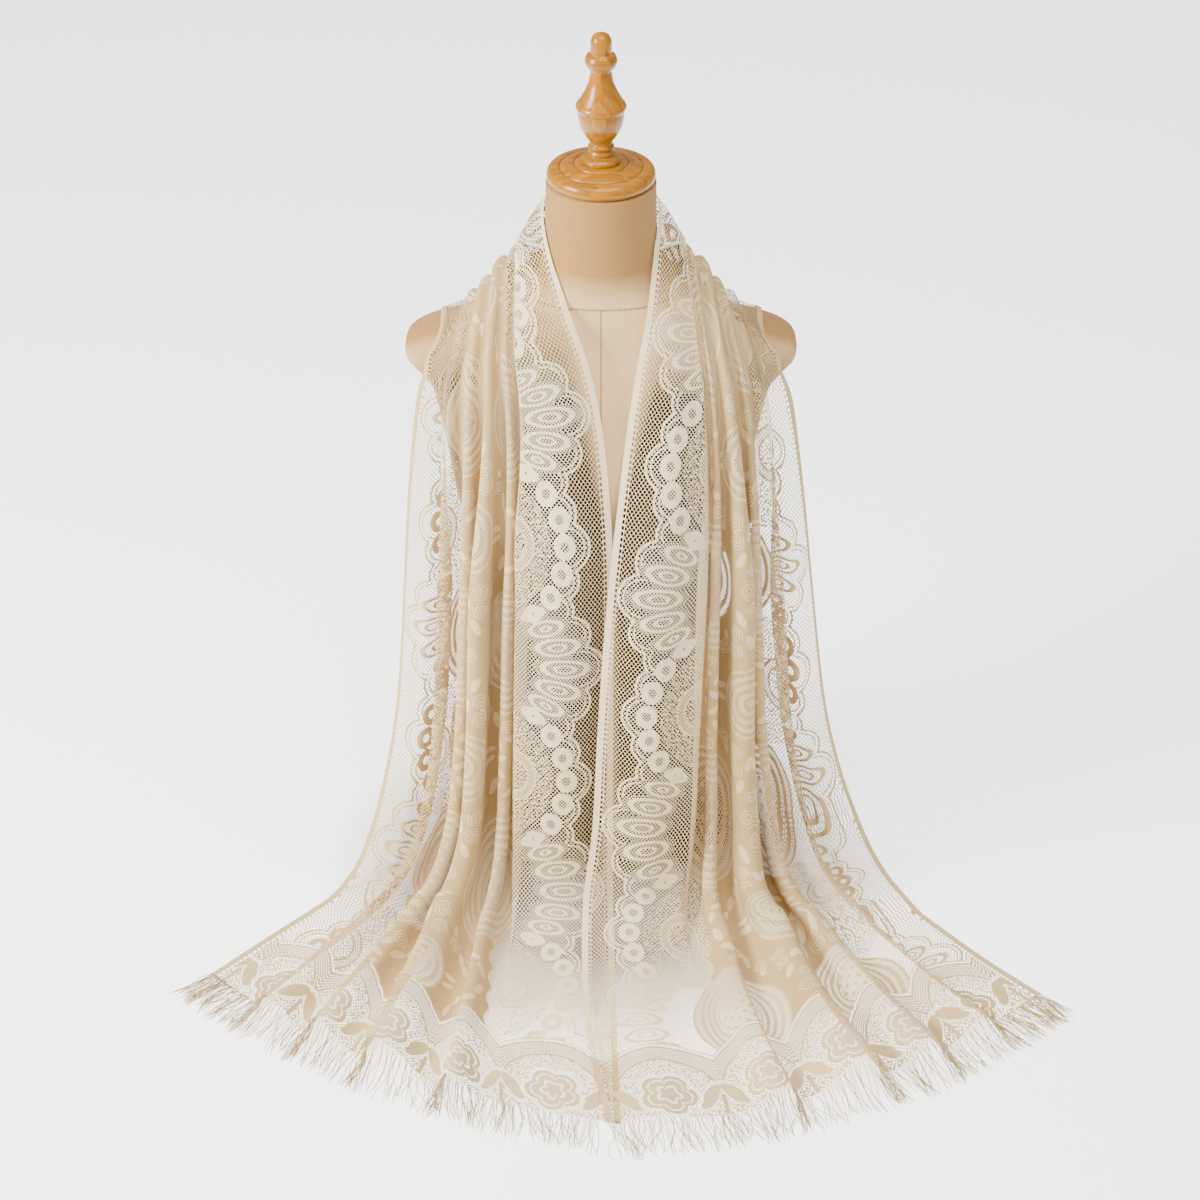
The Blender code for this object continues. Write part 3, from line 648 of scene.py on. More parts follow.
def even_across(side, count):
    """Steps across the cloth at even material widths, as half folds."""
    edges = (1 - side) * LEFT_LAYOUT[0] + side * RIGHT_LAYOUT[0]
    return np.interp(np.linspace(0, edges[-1], count), edges, np.arange(HALVES + 1))


def even_rows(first, last):
    """Rows at even steps along the cloth between two row numbers."""
    rough = np.linspace(first, last, ROW_SAMPLES)
    middle = drape(rough, np.linspace(0, HALVES, COLUMN_SAMPLES))
    steps = np.median(np.linalg.norm(np.diff(middle, axis=0), axis=2), axis=1)
    run = running_total(steps)
    count = int(round(run[-1] / (ALONG_STEP * MM)))
    return np.interp(np.linspace(0, run[-1], count + 1), run, rough)


STRETCHES = (0.0, TABLE_ROWS, LAST_ROW / 2, LAST_ROW - TABLE_ROWS, LAST_ROW)
stretch_rows = [even_rows(a, b) for a, b in zip(STRETCHES, STRETCHES[1:])]
all_rows = np.concatenate([stretch_rows[0]] + [rows[1:] for rows in stretch_rows[1:]])
ends = np.cumsum([0] + [len(rows) - 1 for rows in stretch_rows])
step_count = int(CUT_WIDTH / ACROSS_STEP) + 1
sheet_across = even_across(0.5, step_count)
cloth = drape(all_rows, sheet_across)
print("rows of each stretch:", [len(rows) for rows in stretch_rows], "columns:", step_count)

# %% [markdown]
# ## The flat cut on the cloth
#
# A lace pattern is woven flat, so each point of the cloth needs its place on the flat cut, or the
# rings would stretch over the folds. Across, it is the way over the folds; what the built folds
# can't take in is tucked into their valleys. Along, it is each column's way from the nearer hem,
# so that the lace is neither stretched nor squeezed, and the two ends meet behind the neck.

# %% The flat cut on the cloth
TUCK_SPAN = 0.5
SETTLE_ROWS = 7.0
arc_across = running_total(np.linalg.norm(np.diff(cloth, axis=1), axis=2), 1) / MM
tucked = np.zeros(step_count)
for valley in range(FIRST_FOLD + 1, LAST_FOLD, 2):
    tucked += smooth_step(np.clip((sheet_across - valley) / TUCK_SPAN + 0.5, 0, 1))
tucked /= tucked[-1]
cut_across = arc_across + (CUT_WIDTH - arc_across[:, -1:]) * tucked
print("widths that show, mm:", arc_across[::40, -1].astype(int).tolist())
run_along = running_total(np.linalg.norm(np.diff(cloth, axis=0), axis=2)) / MM
from_hem = np.minimum(run_along, run_along[-1] - run_along)
down_way = np.gradient(cloth, axis=0)
down_way /= np.linalg.norm(down_way, axis=2)[..., None]
slide = np.sum(np.diff(cloth, axis=1) * (down_way[:, 1:] + down_way[:, :-1]) / 2, 2) / MM
square_run = run_along[:, :1] + running_total(slide, 1)
middle_row = int(np.argmin(np.abs(all_rows - LAST_ROW / 2)))
from_right = square_run[-1, 0] - square_run
mismatch = (square_run - from_right)[middle_row]
settle = np.clip((all_rows - LAST_ROW / 2) / SETTLE_ROWS, 0, 1)[:, None]
from_right = from_right + mismatch * (1 - smooth_step(settle))
by_left = (np.arange(len(all_rows)) <= middle_row)[:, None]
side_of_row = np.clip((all_rows - LEFT_END) / (RIGHT_START - LEFT_END), 0, 1)
phase = PHASE["left"] + (PHASE["right"] - PHASE["left"]) * smooth_step(side_of_row)
cut_along = np.where(by_left, square_run, from_right) + phase[:, None]
print("along the middle of the back, mm:", mismatch[::60].astype(int).tolist())
fields = lace_fields(cut_across, cut_along, from_hem)
lengths = run_along[-1]
print("cloth", cloth.shape, "cut length mm", int(lengths.min()), "to", int(lengths.max()))

# %% [markdown]
# ## The four sheets
#
# Each sheet carries two UV maps and the fields. The first map spreads it over a square; the
# second is the flat cut in millimetres, which the net follows. Fields ride on the points as
# attributes, so no image is needed.

# %% The four sheets
FIELD_LIMIT = 200


def add_mesh(name, points, faces):
    """A new mesh object at the origin, linked to the scene."""
    mesh = bpy.data.meshes.new(name)
    mesh.from_pydata(points, [], faces)
    made = bpy.data.objects.new(name, mesh)
    bpy.context.scene.collection.objects.link(made)
    return made


def add_sheet(name, first, last):
    """One stretch of the cloth as a thin sheet with its flat-cut coordinates and fields."""
    rows = slice(first, last + 1)
    points = cloth[rows].reshape(-1, 3)
    high, wide = last + 1 - first, step_count
    index = np.arange(high * wide).reshape(high, wide)
    faces = np.stack((
        index[:-1, :-1], index[:-1, 1:], index[1:, 1:], index[1:, :-1]), -1).reshape(-1, 4)
    made = add_mesh(name, points, faces.tolist())
    mesh = made.data
    mesh.shade_smooth()
    corner = np.empty(len(mesh.loops), np.int32)
    mesh.loops.foreach_get("vertex_index", corner)
    spread = np.stack(np.meshgrid(
        np.linspace(0, 1, wide), np.linspace(0, 1, high)), -1).reshape(-1, 2)
    flat = np.stack((cut_across[rows], cut_along[rows]), -1).reshape(-1, 2)
    for label, values in (("OFBake", spread), ("flat_cut", flat)):
        layer = mesh.uv_layers.new(name=label)
        layer.data.foreach_set("uv", values[corner].ravel())
    for label, values in fields.items():
        layer = mesh.attributes.new("lace_" + label, "FLOAT", "POINT")
        layer.data.foreach_set(
            "value", np.clip(values[rows], -FIELD_LIMIT, FIELD_LIMIT).ravel())
    length = float((run_along[last] - run_along[first]).mean()) * MM
    print(name, len(faces), "quads, cut", round(CUT_WIDTH * MM, 3), "x", round(length, 3))
    return made, length


SHEETS = ("lace_left_lower", "lace_left_upper", "lace_right_upper", "lace_right_lower")
sheets = {}
cut_lengths = {}
for label, first, last in zip(SHEETS, ends, ends[1:]):
    sheets[label], cut_lengths[label] = add_sheet(label, first, last)

# %% [markdown]
# ## The fringe
#
# At both cut ends the warp is left as fine loose threads, which droop to the table and lie there
# a little tangled, leaning on each other in bunches. A hair system could grow them, but hair is
# no mesh and is lost in a file of meshes, so each thread is a thin tube, all in one mesh a hem.

# %% The fringe's threads
THREAD = {
    "count": 340, "length": 48, "shortest": 0.72, "longest": 1.08, "radius": 0.40, "tip": 0.4,
    "joints": 8, "sides": 3, "bunch": 9, "sway": 0.13, "shared": 0.8, "stray": 0.8, "bend": 1.4,
    "curl": 0.06, "curls": (1.0, 2.2), "lift": 2.2, "rest": 0.5, "fall": 1.6, "start": 0.5,
}
HEM_PASSES = 3
INSIDE = 0.3


def thread_roots(hem_row, inside_row, start):
    """Where the threads leave the hem, and the way that they leave it."""
    rows = np.array(sorted((hem_row, inside_row)))
    across = np.linspace(start, HALVES, THREAD["count"])
    middle = drape(rows, across)
    hem, inside = (middle[0], middle[1]) if hem_row < inside_row else (middle[1], middle[0])
    way = hem - inside
    way[:, 2] = 0
    for _ in range(HEM_PASSES):
        way[1:-1] = (way[:-2] + 2 * way[1:-1] + way[2:]) / 4
    return hem, way / np.linalg.norm(way, axis=1)[:, None]


def thread_paths(hem, way, seed):
    """Each thread's line from the hem to its tip, and the way across it."""
    draw = np.random.default_rng(seed)
    count = THREAD["count"]
    share = np.linspace(0, 1, THREAD["joints"] + 1)
    bunches = np.arange(0, count + THREAD["bunch"], THREAD["bunch"])
    bunch = np.interp(np.arange(count), bunches, draw.normal(0, 1, len(bunches)))
    for k in range(count):
        length = THREAD["length"] * draw.uniform(THREAD["shortest"], THREAD["longest"]) * MM
        sway = THREAD["sway"] * (THREAD["shared"] * bunch[k] + draw.normal(0, THREAD["stray"]))
        curl = draw.normal(0, THREAD["curl"])
        across = np.array([-way[k][1], way[k][0], 0])
        wave = np.sin(share * np.pi * draw.uniform(*THREAD["curls"]))
        side = sway * share ** THREAD["bend"] + curl * wave
        path = hem[k] + way[k] * (length * share[:, None]) + across * (length * side[:, None])
        lift = np.abs(draw.normal(0, THREAD["lift"] * MM)) * np.sin(share * np.pi)
        falling = hem[k][2] * (1 - share) ** THREAD["fall"]
        path[:, 2] = np.maximum(falling, THREAD["rest"] * MM + lift)
        yield path, across


def add_fringe(name, hem_row, inside_row, start, seed):
    """All the threads of one hem in one mesh."""
    hem, way = thread_roots(hem_row, inside_row, start)
    joints, sides = THREAD["joints"], THREAD["sides"]
    ring = np.linspace(0, 2 * np.pi, sides, endpoint=False)
    radius = THREAD["radius"] * MM * np.where(np.linspace(0, 1, joints + 1) < 1, 1, THREAD["tip"])
    points, faces = [], []
    for path, across in thread_paths(hem, way, seed):
        base = len(points)
        for place, thick in zip(path, radius):
            for angle in ring:
                out = across * np.cos(angle) + np.array([0, 0, np.sin(angle)])
                points.append(place + out * thick)
        for j in range(joints):
            for m in range(sides):
                n = (m + 1) % sides
                low = base + j * sides
                faces.append((low + m, low + n, low + sides + n, low + sides + m))
        faces.append([base + m for m in reversed(range(sides))])
        faces.append([base + joints * sides + m for m in range(sides)])
    made = add_mesh(name, points, faces)
    made.data.shade_smooth()
    print(name, THREAD["count"], "threads,", len(faces), "faces")
    return made


left_threads = add_fringe("left_threads", 0.0, INSIDE, THREAD["start"], 5)
right_threads = add_fringe("right_threads", LAST_ROW, LAST_ROW - INSIDE, 0.0, 6)

# %% [markdown]
# ## The linen body
#
# The form is padding under a tight linen cover, so it has no sharp edge but the one round its
# base. A plain grid is rolled round it by the same formula that the cloth is held off by, and its
# ends are welded and filled, which leaves a closed skin.

# %% The linen body
BODY_AROUND = 192
BODY_UP = 230
# Heights with as many rows of points between each two, so rows are closer at the shoulders
BODY_BREAKS = (0, 300, 560, 640, 738)
WELD = 0.00001
body_heights = MM * np.interp(
    np.linspace(0, 1, BODY_UP), np.linspace(0, 1, len(BODY_BREAKS)), BODY_BREAKS)
bpy.ops.mesh.primitive_grid_add(x_subdivisions=BODY_AROUND, y_subdivisions=BODY_UP - 1, size=1)
body = bpy.context.active_object
body.name = "linen_body"
around = np.linspace(0, 2 * np.pi, BODY_AROUND + 1)
angle_grid, height_grid = np.meshgrid(around, body_heights)
radius_grid = form_radius(angle_grid, height_grid)
edge_curve = np.clip(1 - height_grid / BASE_EDGE, 0, 1)
radius_grid -= BASE_EDGE * edge_curve ** 2
body_points = np.stack((
    radius_grid * np.cos(angle_grid), radius_grid * np.sin(angle_grid), height_grid), -1)
body.data.vertices.foreach_set("co", body_points.reshape(-1, 3).ravel())
bpy.ops.object.mode_set(mode="EDIT")
bpy.ops.mesh.select_all(action="SELECT")
bpy.ops.mesh.remove_doubles(threshold=WELD)
bpy.ops.mesh.select_all(action="DESELECT")
bpy.ops.mesh.select_mode(type="EDGE")
bpy.ops.mesh.select_non_manifold()
bpy.ops.mesh.fill_holes(sides=0)
bpy.ops.mesh.select_all(action="SELECT")
bpy.ops.mesh.normals_make_consistent(inside=False)
bpy.ops.object.mode_set(mode="OBJECT")
body.data.shade_smooth()
body.select_set(False)
print("linen_body", len(body.data.polygons), "faces")

# %% [markdown]
# ## The turned wood
#
# A turner cuts one outline while the wood spins, so a Screw modifier is the nearest tool: it spins
# the outline round the upright axis. Each stretch of the outline is eased between its points, and
# the small beads stay crisp because their points lie close together.

# %% The turned cap and finial
TURNED_STEPS = 112
OUTLINE_STEPS = 6
AXIS_WELD = 0.00002


def add_turned(name, profile, foot):
    """A turned piece: its outline, eased between the table's points, spun by a Screw modifier."""
    table = np.array(profile, float)
    run = running_total(np.linalg.norm(np.diff(table, axis=0), axis=1))
    fine = np.unique(np.concatenate([
        np.linspace(a, b, OUTLINE_STEPS + 1) for a, b in zip(run, run[1:])]))
    radius = smooth_lookup(fine, run, table[:, 0])
    height = smooth_lookup(fine, run, table[:, 1])
    points = np.stack((radius * MM, np.zeros(len(fine)), height * MM + foot), -1)
    points[[0, -1], 0] = 0
    mesh = bpy.data.meshes.new(name)
    mesh.from_pydata(points, [(k, k + 1) for k in range(len(points) - 1)], [])
    made = bpy.data.objects.new(name, mesh)
    bpy.context.scene.collection.objects.link(made)
    spin = made.modifiers.new("spin", "SCREW")
    spin.axis = "Z"
    spin.steps = spin.render_steps = TURNED_STEPS
    spin.use_merge_vertices = True
    spin.merge_threshold = AXIS_WELD
    spin.use_smooth_shade = True
    bpy.context.view_layer.objects.active = made
    made.select_set(True)
    bpy.ops.object.modifier_apply(modifier=spin.name)
    bpy.ops.object.mode_set(mode="EDIT")
    bpy.ops.mesh.select_all(action="SELECT")
    bpy.ops.mesh.normals_make_consistent(inside=False)
    bpy.ops.object.mode_set(mode="OBJECT")
    made.select_set(False)
    print(name, len(made.data.polygons), "faces")
    return made


turned_cap = add_turned("turned_cap", CAP_PROFILE, CAP_FOOT)
turned_finial = add_turned("turned_finial", FINIAL_PROFILE, FINIAL_FOOT)

# %% [markdown]
# ## Materials
#
# Shader maths is written as sums of terms, each a Math node. The same graph could be drawn by hand
# in the shader editor, but in words its patterns can be read and changed. Shared effects are node
# groups that give masks and heights; each material keeps its own shader.

# %% Terms
def plug(tree, value, socket):
    """Joins a term to a socket, or sets the socket to a number."""
    if isinstance(value, Term):
        tree.links.new(value.socket, socket)
    else:
        socket.default_value = value


class Term:
    """A number in a node tree; its sums and comparisons are Math nodes."""

    def __init__(self, tree, socket):
        self.tree, self.socket = tree, socket

    def math(self, operation, *others):
        node = self.tree.nodes.new("ShaderNodeMath")
        node.operation = operation
        for value, socket in zip((self, *others), node.inputs):
            plug(self.tree, value, socket)
        return Term(self.tree, node.outputs[0])

    def __add__(self, other):
        return self.math("ADD", other)

    def __sub__(self, other):
        return self.math("SUBTRACT", other)

    def __mul__(self, other):
        return self.math("MULTIPLY", other)

    def __truediv__(self, other):
        return self.math("DIVIDE", other)

    def above(self, other):
        return self.math("GREATER_THAN", other)

    def below(self, other):
        return self.math("LESS_THAN", other)

    def least(self, other):
        return self.math("MINIMUM", other)

    def most(self, other):
        return self.math("MAXIMUM", other)

    def size(self):
        return self.math("ABSOLUTE")

    def part(self):
        return self.math("FRACT")

    def rest(self):
        """What is left of 1: a mask turned round."""
        return self * -1 + 1

    def clamped(self):
        return self.least(1.0).most(0.0)

    def between(self, low, high):
        return self.above(low) * self.below(high)

    def toward(self, other, share):
        """This term where the share is 0, the other one where it is 1."""
        if isinstance(other, Term):
            return self + (other - self) * share
        return self + (self * -1 + other) * share


# %% Groups, textures and shaders
def new_group(name, inputs, outputs):
    """A shader node group with float sockets: its tree, its inputs as terms, and its exit."""
    tree = bpy.data.node_groups.new(name, "ShaderNodeTree")
    for label in inputs:
        tree.interface.new_socket(name=label, in_out="INPUT", socket_type="NodeSocketFloat")
    for label in outputs:
        tree.interface.new_socket(name=label, in_out="OUTPUT", socket_type="NodeSocketFloat")
    entry = tree.nodes.new("NodeGroupInput")
    leave = tree.nodes.new("NodeGroupOutput")
    return tree, [Term(tree, entry.outputs[label]) for label in inputs], leave


def give(leave, **terms):
    """Joins terms to a group's named outputs."""
    for label, term in terms.items():
        term.tree.links.new(term.socket, leave.inputs[label])


def use_group(tree, group, *values):
    """A group's node in a tree, with terms or numbers on its inputs."""
    node = tree.nodes.new("ShaderNodeGroup")
    node.node_tree = group
    for value, socket in zip(values, node.inputs):
        plug(tree, value, socket)
    return {out.name: Term(tree, out) for out in node.outputs}


def attribute(tree, name):
    """A number that the mesh carries on its points."""
    node = tree.nodes.new("ShaderNodeAttribute")
    node.attribute_type = "GEOMETRY"
    node.attribute_name = name
    return Term(tree, node.outputs["Fac"])


def noise(tree, vector, scale, detail=2.0, rough=0.5):
    node = tree.nodes.new("ShaderNodeTexNoise")
    tree.links.new(vector, node.inputs["Vector"])
    node.inputs["Scale"].default_value = scale
    node.inputs["Detail"].default_value = detail
    node.inputs["Roughness"].default_value = rough
    return Term(tree, node.outputs["Fac"])


def combine(tree, x, y, z=0.0):
    node = tree.nodes.new("ShaderNodeCombineXYZ")
    for value, socket in zip((x, y, z), node.inputs):
        plug(tree, value, socket)
    return node.outputs[0]


def object_place(tree):
    """The piece's own coordinates, in metres."""
    return tree.nodes.new("ShaderNodeTexCoord").outputs["Object"]


def split_up(tree, vector):
    """A vector's three parts as terms."""
    node = tree.nodes.new("ShaderNodeSeparateXYZ")
    tree.links.new(vector, node.inputs[0])
    return [Term(tree, node.outputs[axis]) for axis in "XYZ"]


def colour_between(tree, share, first, second):
    """A colour that goes from the first to the second with the share."""
    node = tree.nodes.new("ShaderNodeMix")
    node.data_type = "RGBA"
    node.inputs["Factor"].default_value = 0
    tree.links.new(share.socket, node.inputs["Factor"])
    for socket, colour in zip((node.inputs[6], node.inputs[7]), (first, second)):
        if isinstance(colour, tuple):
            socket.default_value = (*colour, 1)
        else:
            tree.links.new(colour, socket)
    return node.outputs[2]


def new_material(name, roughness, specular=0.5, **settings):
    """A material with its node tree and shader; settings name the shader's other inputs."""
    made = bpy.data.materials.new(name)
    made.use_nodes = True
    tree = made.node_tree
    shader = tree.nodes["Principled BSDF"]
    shader.inputs["Roughness"].default_value = roughness
    shader.inputs["Specular IOR Level"].default_value = specular
    for label, value in settings.items():
        shader.inputs[label.replace("_", " ").title()].default_value = value
    return made, tree, shader


def paint(tree, colour, shader, label="Base Color"):
    tree.links.new(colour, shader.inputs[label])


def add_bump(tree, shader, height, distance, strength=1.0):
    bump = tree.nodes.new("ShaderNodeBump")
    bump.inputs["Strength"].default_value = strength
    bump.inputs["Distance"].default_value = distance
    tree.links.new(height.socket, bump.inputs["Height"])
    tree.links.new(bump.outputs["Normal"], shader.inputs["Normal"])


# %% [markdown]
# ## The net
#
# Machine lace hangs on a net of small six-sided holes. Two interleaved lattices of one hole, each
# shifted by half a pitch, make such a net, and one group with its pitch and hole size as inputs
# serves the coarse ground and the finest filling alike.

# %% Net holes
net_group, (g_u, g_v, g_pu, g_pv, g_hu, g_hv), net_exit = new_group(
    "net_holes", ("U", "V", "Pitch U", "Pitch V", "Half U", "Half V"), ("Hole",))


def hole_metric(shift):
    """Below 1 inside the six-sided holes of one of the net's two interleaved lattices."""
    x = ((g_u / g_pu + shift).part() - 0.5).size() * g_pu / g_hu
    y = ((g_v / g_pv + shift).part() - 0.5).size() * g_pv / g_hv
    return x.most(x * 0.5 + y)


give(net_exit, Hole=hole_metric(0.0).least(hole_metric(0.5)).below(1.0))

# %% [markdown]
# ## The lace
#
# The lace is open net, denser filling, solid outlines and plain cloth, all in one weave. In the
# group each field picks its kind of hole, from the ground up: what is nearer the eye in the design
# comes later. A hole is really open, through Alpha, and not painted, so the form shows through.

# %% The lace's places and nets
# Pitch across and along, half a hole across and along, in millimetres
NETS = {
    "ground": (4.2, 5.8, 1.36, 1.86),
    "coarse": (4.1, 5.0, 1.32, 1.55),
    "small": (3.3, 3.8, 0.98, 1.1),
    "tiny": (3.2, 3.8, 0.72, 0.82),
}
WOBBLE = {"scale": 0.09, "width": 2.0}
MOTTLE = {"scale": 0.4, "share": 0.47}
lace_group, (), lace_exit = new_group("lace_design", (), ("Hole", "Tone", "Relief"))
flat_node = lace_group.nodes.new("ShaderNodeUVMap")
flat_node.uv_map = "flat_cut"
flat_cut = flat_node.outputs["UV"]
lace_u, lace_v, _ = split_up(lace_group, flat_cut)
wobble = (noise(lace_group, flat_cut, WOBBLE["scale"]) - 0.5) * WOBBLE["width"]
net_u, net_v = lace_u + wobble, lace_v + wobble
fine_noise = noise(lace_group, flat_cut, MOTTLE["scale"], 1.0)
edge = lace_u.least(lace_u * -1 + CUT_WIDTH)
F = {name: attribute(lace_group, "lace_" + name) for name in fields}
ground, coarse, small, tiny = (
    use_group(lace_group, net_group, net_u, net_v, *sizes)["Hole"] for sizes in NETS.values())
mottled = coarse * fine_noise.above(MOTTLE["share"])
print("nets:", list(NETS), "fields:", sorted(F))

# %% The lace's holes
# Where each band of a shape starts and ends, in millimetres from the shape's edge
OUTLINES = ((0, 2.2), (5.4, 6.9))
PETAL = {"surround": -2.6, "bands": (2.6, 5.6), "eye": 7.2}
RING_EYE = 6.4
ROUNDEL_LADDERS = ((0, 2), (8, 10))
BAND = {"pitch": 9.5, "holes": (0.3, 0.8), "border": 2.6, "core": 38}
SQUARES = {"pitch": 15, "solid": (0.3, 0.72)}
ARC = {"net": (1, 4.5), "ribs": (6, 22), "rib": 2.7, "rib_holes": 0.62, "bar": 2.9, "bars": 0.3,
       "inside": 24}
BLOOM = {"surround": (-6, -1.5), "start": -1, "ring": (3.4, 5.4), "eye": (13, 16)}
SELVEDGE = {"solid": 6.4, "slots": 8.8, "end": 9.4, "pitch": 5.8, "open": 0.34}

outlines = [F["region"].between(*band) for band in OUTLINES]
solid_lines = outlines[0].most(outlines[1])
hole = ground.toward(coarse, F["region"].above(0))
behind_chain = F["chain_arc"].above(14) * F["region"].above(9)
hole = hole.toward(mottled, behind_chain)
hole = hole * solid_lines.rest()
hole = hole.toward(small, F["petal"].between(PETAL["surround"], 0))
petal_holes = small * F["petal"].between(*PETAL["bands"]).most(F["petal"].above(PETAL["eye"]))
hole = hole.toward(petal_holes, F["petal"].above(0))
hole = hole.toward(small * F["ring"].above(RING_EYE), F["ring"].above(0))
outer_ladder, inner_ladder = (F["roundel"].between(*band) for band in ROUNDEL_LADDERS)
ladder = (outer_ladder + inner_ladder).least(1.0)
between_ladders = F["roundel"].between(ROUNDEL_LADDERS[0][1], ROUNDEL_LADDERS[1][0])
roundel_holes = mottled.toward(tiny, between_ladders) * ladder.rest()
hole = hole.toward(roundel_holes, F["roundel"].above(0) * F["ring"].below(0))
rib_holes = tiny * (F["medallion"] / BAND["pitch"]).part().between(*BAND["holes"])
rising, falling = (
    (slope / SQUARES["pitch"]).part().between(*SQUARES["solid"])
    for slope in (lace_u + lace_v, lace_u - lace_v))
core = tiny * (rising * falling).rest()
medallion_holes = rib_holes.toward(core, F["medallion"].above(BAND["core"]))
medallion_holes = medallion_holes * F["medallion"].above(BAND["border"])
lattice = F["medallion"].above(0) * F["petal"].below(-1) * F["ring"].below(0)
hole = hole.toward(medallion_holes, lattice)
in_field = F["field"].above(0)
hole = hole * in_field.rest()

# %% The hem's and the selvedge's holes
in_arc = F["arc"].above(0)
ribs = (F["arc"] / ARC["rib"]).part().above(ARC["rib_holes"]) * (
    lace_u / ARC["bar"]).part().above(ARC["bars"])
arc_holes = (coarse * F["arc"].between(*ARC["net"])).most(ribs * F["arc"].between(*ARC["ribs"]))
arc_holes = arc_holes.most(mottled * F["arc"].above(ARC["inside"]))
arc_holes = arc_holes.toward(small, F["spray"].above(-2))
arc_holes = arc_holes * F["spray"].above(0).rest()
arc_holes = arc_holes.toward(coarse, F["flower"].between(*BLOOM["surround"]))
bloom_holes = F["flower"].between(*BLOOM["ring"]).most(F["flower"].between(*BLOOM["eye"]))
arc_holes = arc_holes.toward(small * bloom_holes, F["flower"].above(BLOOM["start"]))
hole = hole.toward(arc_holes, in_arc)
row_slots = (lace_v / SELVEDGE["pitch"]).part().above(SELVEDGE["open"])
row_slots = row_slots * edge.between(SELVEDGE["solid"], SELVEDGE["slots"])
hole = hole.toward(row_slots, edge.below(SELVEDGE["end"]))
hole = hole * edge.above(SELVEDGE["solid"])

# %% [markdown]
# ## The lace's tone and relief
#
# Plain cloth is a warmer beige than the raised ivory figures. Roses and leaves are woven lines on
# it. Raised figures stand up by less than a millimetre, which a Bump node gives well enough.

# %% The lace's tone and relief
LEAF_LINES = {"edge": 1.1, "middle": 3.2}
VEIN = (0.1, 0.55)
TONES = {"lattice": 0.55, "mottled": 0.3, "ground": 0.6, "woven": 0.4, "arc": 0.8, "hem": 0.55,
         "beyond": 0.8}
RELIEF = {"raised": 0.6, "woven": 0.5, "thread": 0.45, "scale": 1.1}
pattern = F["rose"].most(F["leaf"])
leaf_lines = F["leaf"].between(0, LEAF_LINES["edge"]).most(F["leaf"].above(LEAF_LINES["middle"]))
veins = (F["coil"] / ROSE["line"]).part().between(*VEIN).most(leaf_lines)
woven = veins * pattern.above(0) * in_field * in_arc.rest()
mottled_tone = behind_chain * F["ring"].below(0) * F["petal"].below(0)
tone = in_field.most(lattice * TONES["lattice"]).most(mottled_tone * TONES["mottled"])
tone = tone * in_arc.rest()
tone = tone.most(F["region"].below(0) * edge.above(SELVEDGE["end"]) * TONES["ground"])
tone = tone.toward(TONES["woven"], woven)
tone = tone.toward(TONES["arc"], in_arc * F["flower"].below(0) * F["spray"].below(0))
beyond = lace_u.above(CUT_WIDTH - FIELD_EDGE["base"])
tone = tone.most(in_arc * TONES["hem"]).most(beyond * TONES["beyond"])
raised = solid_lines.most(F["ring"].above(0)).most(F["petal"].above(0))
raised = raised.most(edge.below(SELVEDGE["solid"])) * in_arc.rest()
raised = raised.most(F["flower"].above(0) * in_arc).most(F["spray"].above(0) * in_arc)
thread_noise = noise(lace_group, flat_cut, RELIEF["scale"], 1.0)
relief = raised * RELIEF["raised"] + woven * RELIEF["woven"] + thread_noise * RELIEF["thread"]
give(lace_exit, Hole=hole, Tone=tone, Relief=relief)

# %% The lace cloth
IVORY = ((0.85, 0.67, 0.40), (0.93, 0.75, 0.47))
BEIGE = ((0.50, 0.34, 0.145), (0.58, 0.405, 0.185))
lace, lace_nodes, lace_shader = new_material(
    "ivory_lace_cloth", 0.82, 0.12, sheen_weight=0.05, sheen_roughness=0.5)
design = use_group(lace_nodes, lace_group)
patchy = noise(lace_nodes, object_place(lace_nodes), 14, 3.0)
ivory, beige = (colour_between(lace_nodes, patchy, *pair) for pair in (IVORY, BEIGE))
paint(lace_nodes, colour_between(lace_nodes, design["Tone"], ivory, beige), lace_shader)
paint(lace_nodes, design["Hole"].rest().socket, lace_shader, "Alpha")
add_bump(lace_nodes, lace_shader, design["Relief"], 0.0006, 0.8)
print(lace.name, len(lace_group.nodes), "nodes in its design")

# %% [markdown]
# ## The threads' colour, with painted shade
#
# Loose ends are the same yarn, but so thin that they catch light from all round and would look
# white. So their colour is painted deeper than the lace's, as painted shade, and it varies from
# bunch to bunch.

# %% Thread
# Painted shade: the loose threads are coloured darker than the lace's ivory.
YARN_WITH_PAINTED_SHADE = ((0.40, 0.28, 0.12), (0.66, 0.50, 0.26))
thread, thread_nodes, thread_shader = new_material("ivory_thread", 0.8, 0.12)
thread_place = object_place(thread_nodes)
thread_patch = noise(thread_nodes, thread_place, 60, 2.0)
paint(thread_nodes, colour_between(thread_nodes, thread_patch, *YARN_WITH_PAINTED_SHADE), thread_shader)
add_bump(thread_nodes, thread_shader, noise(thread_nodes, thread_place, 900), 0.0002, 0.5)

# %% [markdown]
# ## Linen
#
# The cover is plain-woven linen with slubs, thicker bits of yarn that run along the weft and the
# warp. Both follow the way round the form, so the weave goes round it as the real cover does. A
# seam goes round the neck and another down the front from it, drawn as grooves, with a row of
# stitches along the neck seam, because they are too shallow to be worth faces.

# %% Linen
WEAVE = 0.00085
